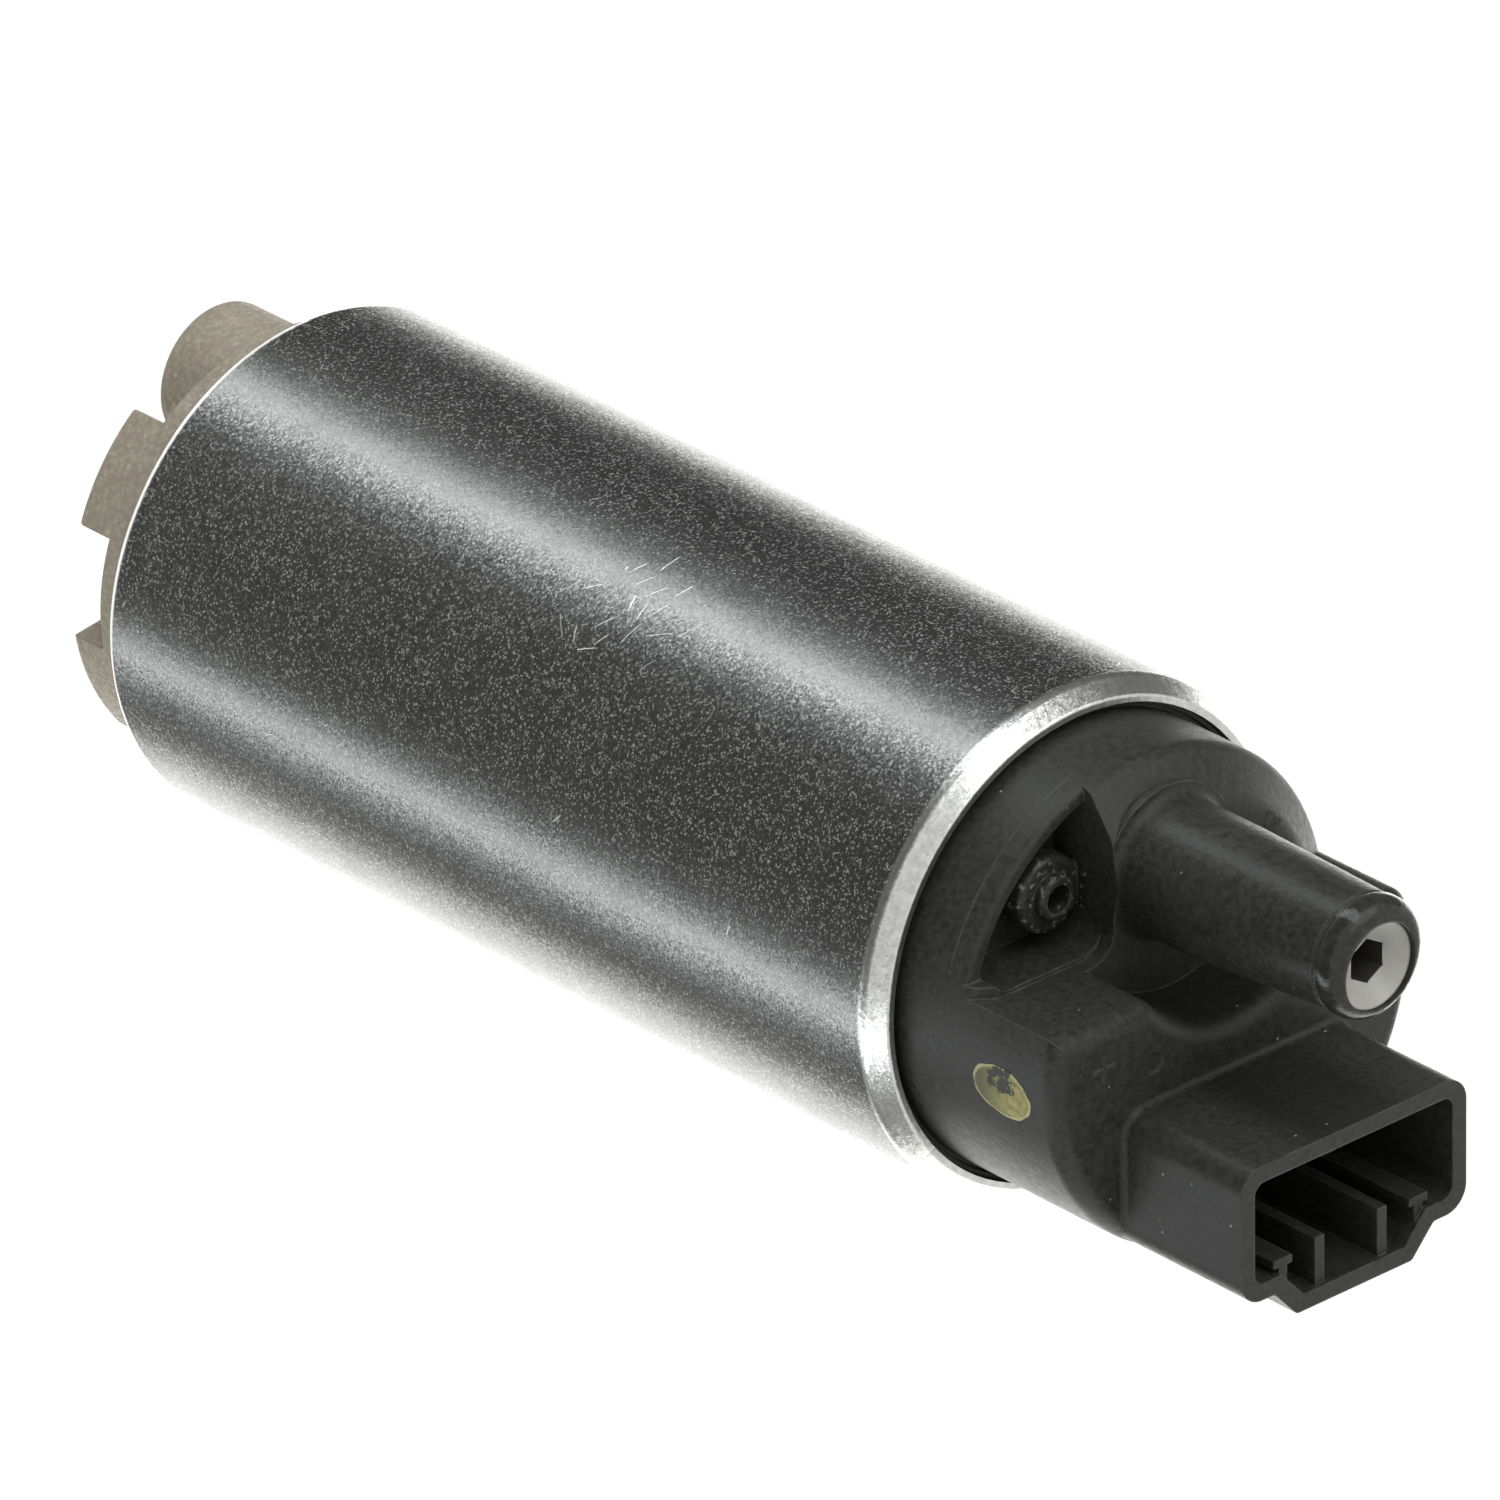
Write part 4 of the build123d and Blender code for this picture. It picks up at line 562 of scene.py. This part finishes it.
# The paint is worn through in one place, thinner towards its lower end and thick at its dried rim.
marking_paint, tree, shader, place = new_material("yellow_marking_paint")
dot_x, dot_y = dot_r * cos(dot_angle), dot_r * sin(dot_angle)
worn_at = (dot_x, dot_y + 1.1 * mm, dot_z - 0.1 * mm)
spread = add_node(tree, "VectorMath", {0: place, 1: worn_at}, operation="DISTANCE")["Value"]
core = add_node(tree, "MapRange", {"Value": spread, "From Min": 1.9 * mm, "From Max": 0.6 * mm,
                                   "To Max": 0.5})["Result"]
patchy = clouds(tree, place, 0.4 * mm, 0.15, 0.8, detail=5.0)
worn = add_node(tree, "Math", {0: core, 1: patchy}, operation="ADD")[0]
worn = add_node(tree, "MapRange", {"Value": worn, "From Min": 0.72, "From Max": 0.86})["Result"]
paint = add_node(tree, "Mix", {0: clouds(tree, place, 0.25 * mm), 6: "#8b864f", 7: "#b5ad74"},
                 data_type="RGBA")[2]
thick = add_node(tree, "SeparateXYZ", {"Vector": place})["Z"]
thick = add_node(tree, "MapRange", {"Value": thick, "From Min": dot_z - 2.0 * mm,
                                    "From Max": dot_z + 0.6 * mm})
paint = add_node(tree, "Mix", {0: thick["Result"], 6: "#66684a", 7: paint}, data_type="RGBA")[2]
centre = [0.0, -dot_y / dot_half_wide, -dot_z / dot_half_long]
to_rim = add_node(tree, "Mapping", {"Vector": place, "Location": centre,
                                    "Scale": (0.0, 1 / dot_half_wide, 1 / dot_half_long)})["Vector"]
to_rim = add_node(tree, "VectorMath", {0: to_rim}, operation="LENGTH")["Value"]
dried = add_node(tree, "MapRange", {"Value": to_rim, "From Min": 0.90, "From Max": 0.96, "To Max": 0.8})
paint = add_node(tree, "Mix", {0: dried["Result"], 6: paint, 7: "#c4bd90"}, data_type="RGBA")[2]
paint = add_node(tree, "Mix", {0: worn, 6: paint, 7: "#32322c"}, data_type="RGBA")[2]
rough = add_node(tree, "MapRange", {"Value": worn, "To Min": 0.6, "To Max": 0.45})["Result"]
shader.inputs["Specular IOR Level"].default_value = 0.3
relief = add_node(tree, "Bump", {"Height": worn, "Distance": -film_t})["Normal"]
set_surface(tree, shader, paint, rough, dimples(tree, place, 0.3 * mm, 0.03 * mm, relief))
dot.data.materials.append(marking_paint)
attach(dot, "pump")

# Seals. Moulded rings of black fluorocarbon rubber, matt with a bloom of talc in their pores.
rubber = moulded("moulded_rubber", "#161616", "#1e1e1e", "#4e4e4b", 0.35 * mm, 0.72, 0.012 * mm, 0.25)
dress(rubber, "end_cover_seal", "check_valve_seal")

# Check valve and its retainer. Natural acetal mouldings: milky white, light passes a little way in, the
# retainer's hollow face is polished, and the walls of its hole are darkened with painted shade.
hole_r = 1.75 * mm
hole_floor_z = 103.0 * mm
acetal, tree, shader, place = new_material("natural_acetal")
white = add_node(tree, "Mix", {0: clouds(tree, place, 1.5 * mm), 6: "#b2b1ab", 7: "#c4c3bd"},
                 data_type="RGBA")[2]
edge, soft_normal = worn_edge(tree, 0.1 * mm, 0.4)
white = add_node(tree, "Mix", {0: edge, 6: white, 7: "#e2e2dc"}, data_type="RGBA")[2]
plug_low, plug_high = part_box("outlet_retainer")
to_axis = [-(plug_low[axis] + plug_high[axis]) / 2 for axis in (0, 1)] + [0.0]
off_axis = add_node(tree, "Mapping", {"Vector": place, "Location": to_axis, "Scale": (1.0, 1.0, 0.0)})
off_axis = add_node(tree, "VectorMath", {0: off_axis["Vector"]}, operation="LENGTH")["Value"]
inside = add_node(tree, "Math", {0: off_axis, 1: hole_r}, operation="LESS_THAN")[0]
facing = add_node(tree, "NewGeometry", {})["True Normal"]
facing = add_node(tree, "SeparateXYZ", {"Vector": facing})["Z"]
upright = add_node(tree, "Math", {0: facing, 1: 0.0, 2: 0.3}, operation="COMPARE")[0]
height = add_node(tree, "SeparateXYZ", {"Vector": place})["Z"]
deep = add_node(tree, "Math", {0: height, 1: hole_floor_z}, operation="LESS_THAN")[0]
upright = add_node(tree, "Math", {0: upright, 1: deep}, operation="MAXIMUM")[0]
in_plug = add_node(tree, "Math", {0: height, 1: plug_low[2]}, operation="GREATER_THAN")[0]
# Painted shade: inside the hole, its walls and all below its floor are coloured dark grey.
stain_and_painted_shade = add_node(tree, "Math", {0: inside, 1: upright}, operation="MULTIPLY")[0]
stain_and_painted_shade = add_node(tree, "Math", {0: stain_and_painted_shade, 1: in_plug}, operation="MULTIPLY")[0]
white = add_node(tree, "Mix", {0: stain_and_painted_shade, 6: white, 7: "#4a4944"}, data_type="RGBA")[2]
shader.inputs["Subsurface Weight"].default_value = 0.1
shader.inputs["Subsurface Scale"].default_value = 0.3 * mm
set_surface(tree, shader, white, clouds(tree, place, 0.6 * mm, 0.3, 0.4),
            dimples(tree, place, 0.5 * mm, 0.006 * mm, soft_normal))
dress(acetal, "check_valve_poppet", "outlet_retainer")

# Relief valve seat. Brass, turned from bar and pressed in: bright rings, a little tarnished.
brass = ground_metal("turned_brass", "#b08f4c", "#d0b06a", 0.26, 0.1 * mm, 0.003 * mm, "#6d5427", 0.4)
dress(brass, "relief_valve_seat")

# Springs and brush leads. Each that a joint lists as deforming is a welded, smooth-shaded copy of its
# solid carried by the pump, and the solid is hidden.
weld_gap = 0.0005 * mm
record = frame["record"]
for joint in record["behaviour"]["joints"]:
    for end in joint.get("deforming_nodes", []):
        solid = nodes[end["node"]]
        pressed = bpy.data.objects.new("pressed_" + end["node"], solid.data.copy())
        bpy.context.collection.objects.link(pressed)
        bpy.ops.object.select_all(action="DESELECT")
        pressed.select_set(True)
        bpy.context.view_layer.objects.active = pressed
        bpy.ops.object.mode_set(mode="EDIT")
        bpy.ops.mesh.select_all(action="SELECT")
        bpy.ops.mesh.remove_doubles(threshold=weld_gap)
        bpy.ops.object.mode_set(mode="OBJECT")
        bpy.ops.object.shade_smooth_by_angle(angle=radians(40))
        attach(pressed, "pump")
        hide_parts(end["node"])
        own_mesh(pressed)


# Table. A plain white top, a good way below the pump, which hangs by its can as in its holder.
def seen_light(tree):
    """1 for the camera, for reflections and through glass, 0 for the light that falls on things."""
    path = add_node(tree, "LightPath", {})
    seen = add_node(tree, "Math", {0: path["Is Camera Ray"], 1: path["Is Glossy Ray"]},
                    operation="MAXIMUM")[0]
    return add_node(tree, "Math", {0: seen, 1: path["Is Transmission Ray"]}, operation="MAXIMUM")[0]


floor_z = -450 * mm
floor_glow = 0.76
bpy.ops.object.select_all(action="DESELECT")
bpy.ops.mesh.primitive_plane_add(size=14.0, location=(0, 0, floor_z))
floor = bpy.context.object
floor.name = "floor"
white_top, tree, shader, _ = new_material("white_table")
shader.inputs["Base Color"].default_value = linear("#c4c4c4")
shader.inputs["Roughness"].default_value = 0.85
shader.inputs["Specular IOR Level"].default_value = 0.1
glow = add_node(tree, "Math", {0: seen_light(tree), 1: floor_glow}, operation="MULTIPLY")[0]
tree.links.new(glow, shader.inputs["Emission Strength"])
shader.inputs["Emission Color"].default_value = (1, 1, 1, 1)
floor.data.materials.append(white_top)

# Studio light. A white room, two tall soft boxes of cool daylight that draw the long streaks on the
# can, two wide ones behind for the bright outlines, and a large one above.
world = bpy.data.worlds.new("studio")
bpy.context.scene.world = world
world.use_nodes = True
tree = world.node_tree
back = tree.nodes["Background"]
back.inputs["Color"].default_value = (1, 1, 1, 1)
strength = add_node(tree, "MapRange", {"Value": seen_light(tree), "To Min": 0.45, "To Max": 1.0})
tree.links.new(strength["Result"], back.inputs["Strength"])


def soft_box(name, azimuth, distance, low, high, wide, glow, colour=(1, 1, 1)):
    """Upright soft box that faces the pump, from one height to another, with a given radiance."""
    data = bpy.data.lights.new(name, "AREA")
    data.shape = "RECTANGLE"
    data.size = wide
    data.size_y = high - low
    data.energy = glow * pi * wide * (high - low)
    data.color = colour
    made = bpy.data.objects.new(name, data)
    bpy.context.collection.objects.link(made)
    away = Vector((cos(radians(azimuth)), sin(radians(azimuth)), 0))
    made.location = away * distance + Vector((0, 0, (low + high) / 2))
    made.rotation_euler = away.to_track_quat("Z", "Y").to_euler()
    made.visible_camera = False
    return made


daylight = (0.92, 0.97, 1.0)
soft_box("streak_upper", 93, 0.30, -0.44, 0.30, 0.076, 4.9, daylight)
soft_box("streak_lower", 213, 0.15, -0.16, 0.15, 0.034, 4.5, daylight)
soft_box("outline_upper", -18, 0.28, -0.44, 0.10, 0.20, 2.1)
soft_box("outline_lower", 290, 0.30, -0.44, 0.20, 0.31, 1.8)
top = soft_box("key_above", 70, 0.5, 0.3, 0.8, 0.5, 1.6)
top.rotation_euler = (top.location - Vector((0, 0, 0.05))).to_track_quat("Z", "Y").to_euler()

# Grey curtain. It stands round the camera's side of the room, as in a product studio, so that the
# can mirrors it between the bright streaks. It throws no shadow and lights nothing.
curtain_r = 0.34
curtain_high = 0.22
curtain_from, curtain_to = radians(8), radians(256)
bpy.ops.object.select_all(action="DESELECT")
bpy.ops.mesh.primitive_cylinder_add(vertices=120, radius=curtain_r, depth=curtain_high - floor_z,
                                    end_fill_type="NOTHING",
                                    location=(0, 0, (curtain_high + floor_z) / 2))
curtain = bpy.context.object
curtain.name = "grey_curtain"
bpy.ops.object.mode_set(mode="EDIT")
bpy.ops.mesh.select_all(action="DESELECT")
shape = bmesh.from_edit_mesh(curtain.data)
for face in shape.faces:
    middle = face.calc_center_median()
    turn = atan2(middle.y, middle.x) % (2 * pi)
    face.select_set(not curtain_from < turn < curtain_to)
bmesh.update_edit_mesh(curtain.data)
bpy.ops.mesh.delete(type="FACE")
bpy.ops.object.mode_set(mode="OBJECT")
grey_cloth, _, shader, _ = new_material("grey_curtain_cloth")
shader.inputs["Base Color"].default_value = linear("#303030")
shader.inputs["Roughness"].default_value = 1.0
shader.inputs["Emission Color"].default_value = (1, 1, 1, 1)
shader.inputs["Emission Strength"].default_value = 0.12
curtain.data.materials.append(grey_cloth)
curtain.visible_camera = False
curtain.visible_diffuse = False
curtain.visible_shadow = False

# Camera. A long lens from above the outlet end, rolled so that the pump lies across the picture.
camera_data = bpy.data.cameras.new("camera")
camera_data.lens = 480
camera_data.sensor_width = 36
camera_data.clip_start = 0.05
camera_data.clip_end = 20
camera = bpy.data.objects.new("camera", camera_data)
bpy.context.collection.objects.link(camera)
camera_at = Vector((-0.814155, 0.639719, 0.958478))
right = Vector((0.74114, -0.01481, 0.67118))
up = Vector((0.32001, 0.88666, -0.33381))
behind = Vector((-0.59017, 0.46218, 0.66188))
facing_pump = Matrix((right, up, behind)).transposed().to_4x4()
camera.matrix_world = Matrix.Translation(camera_at) @ facing_pump
bpy.context.scene.camera = camera
bpy.context.scene.view_settings.view_transform = "Standard"
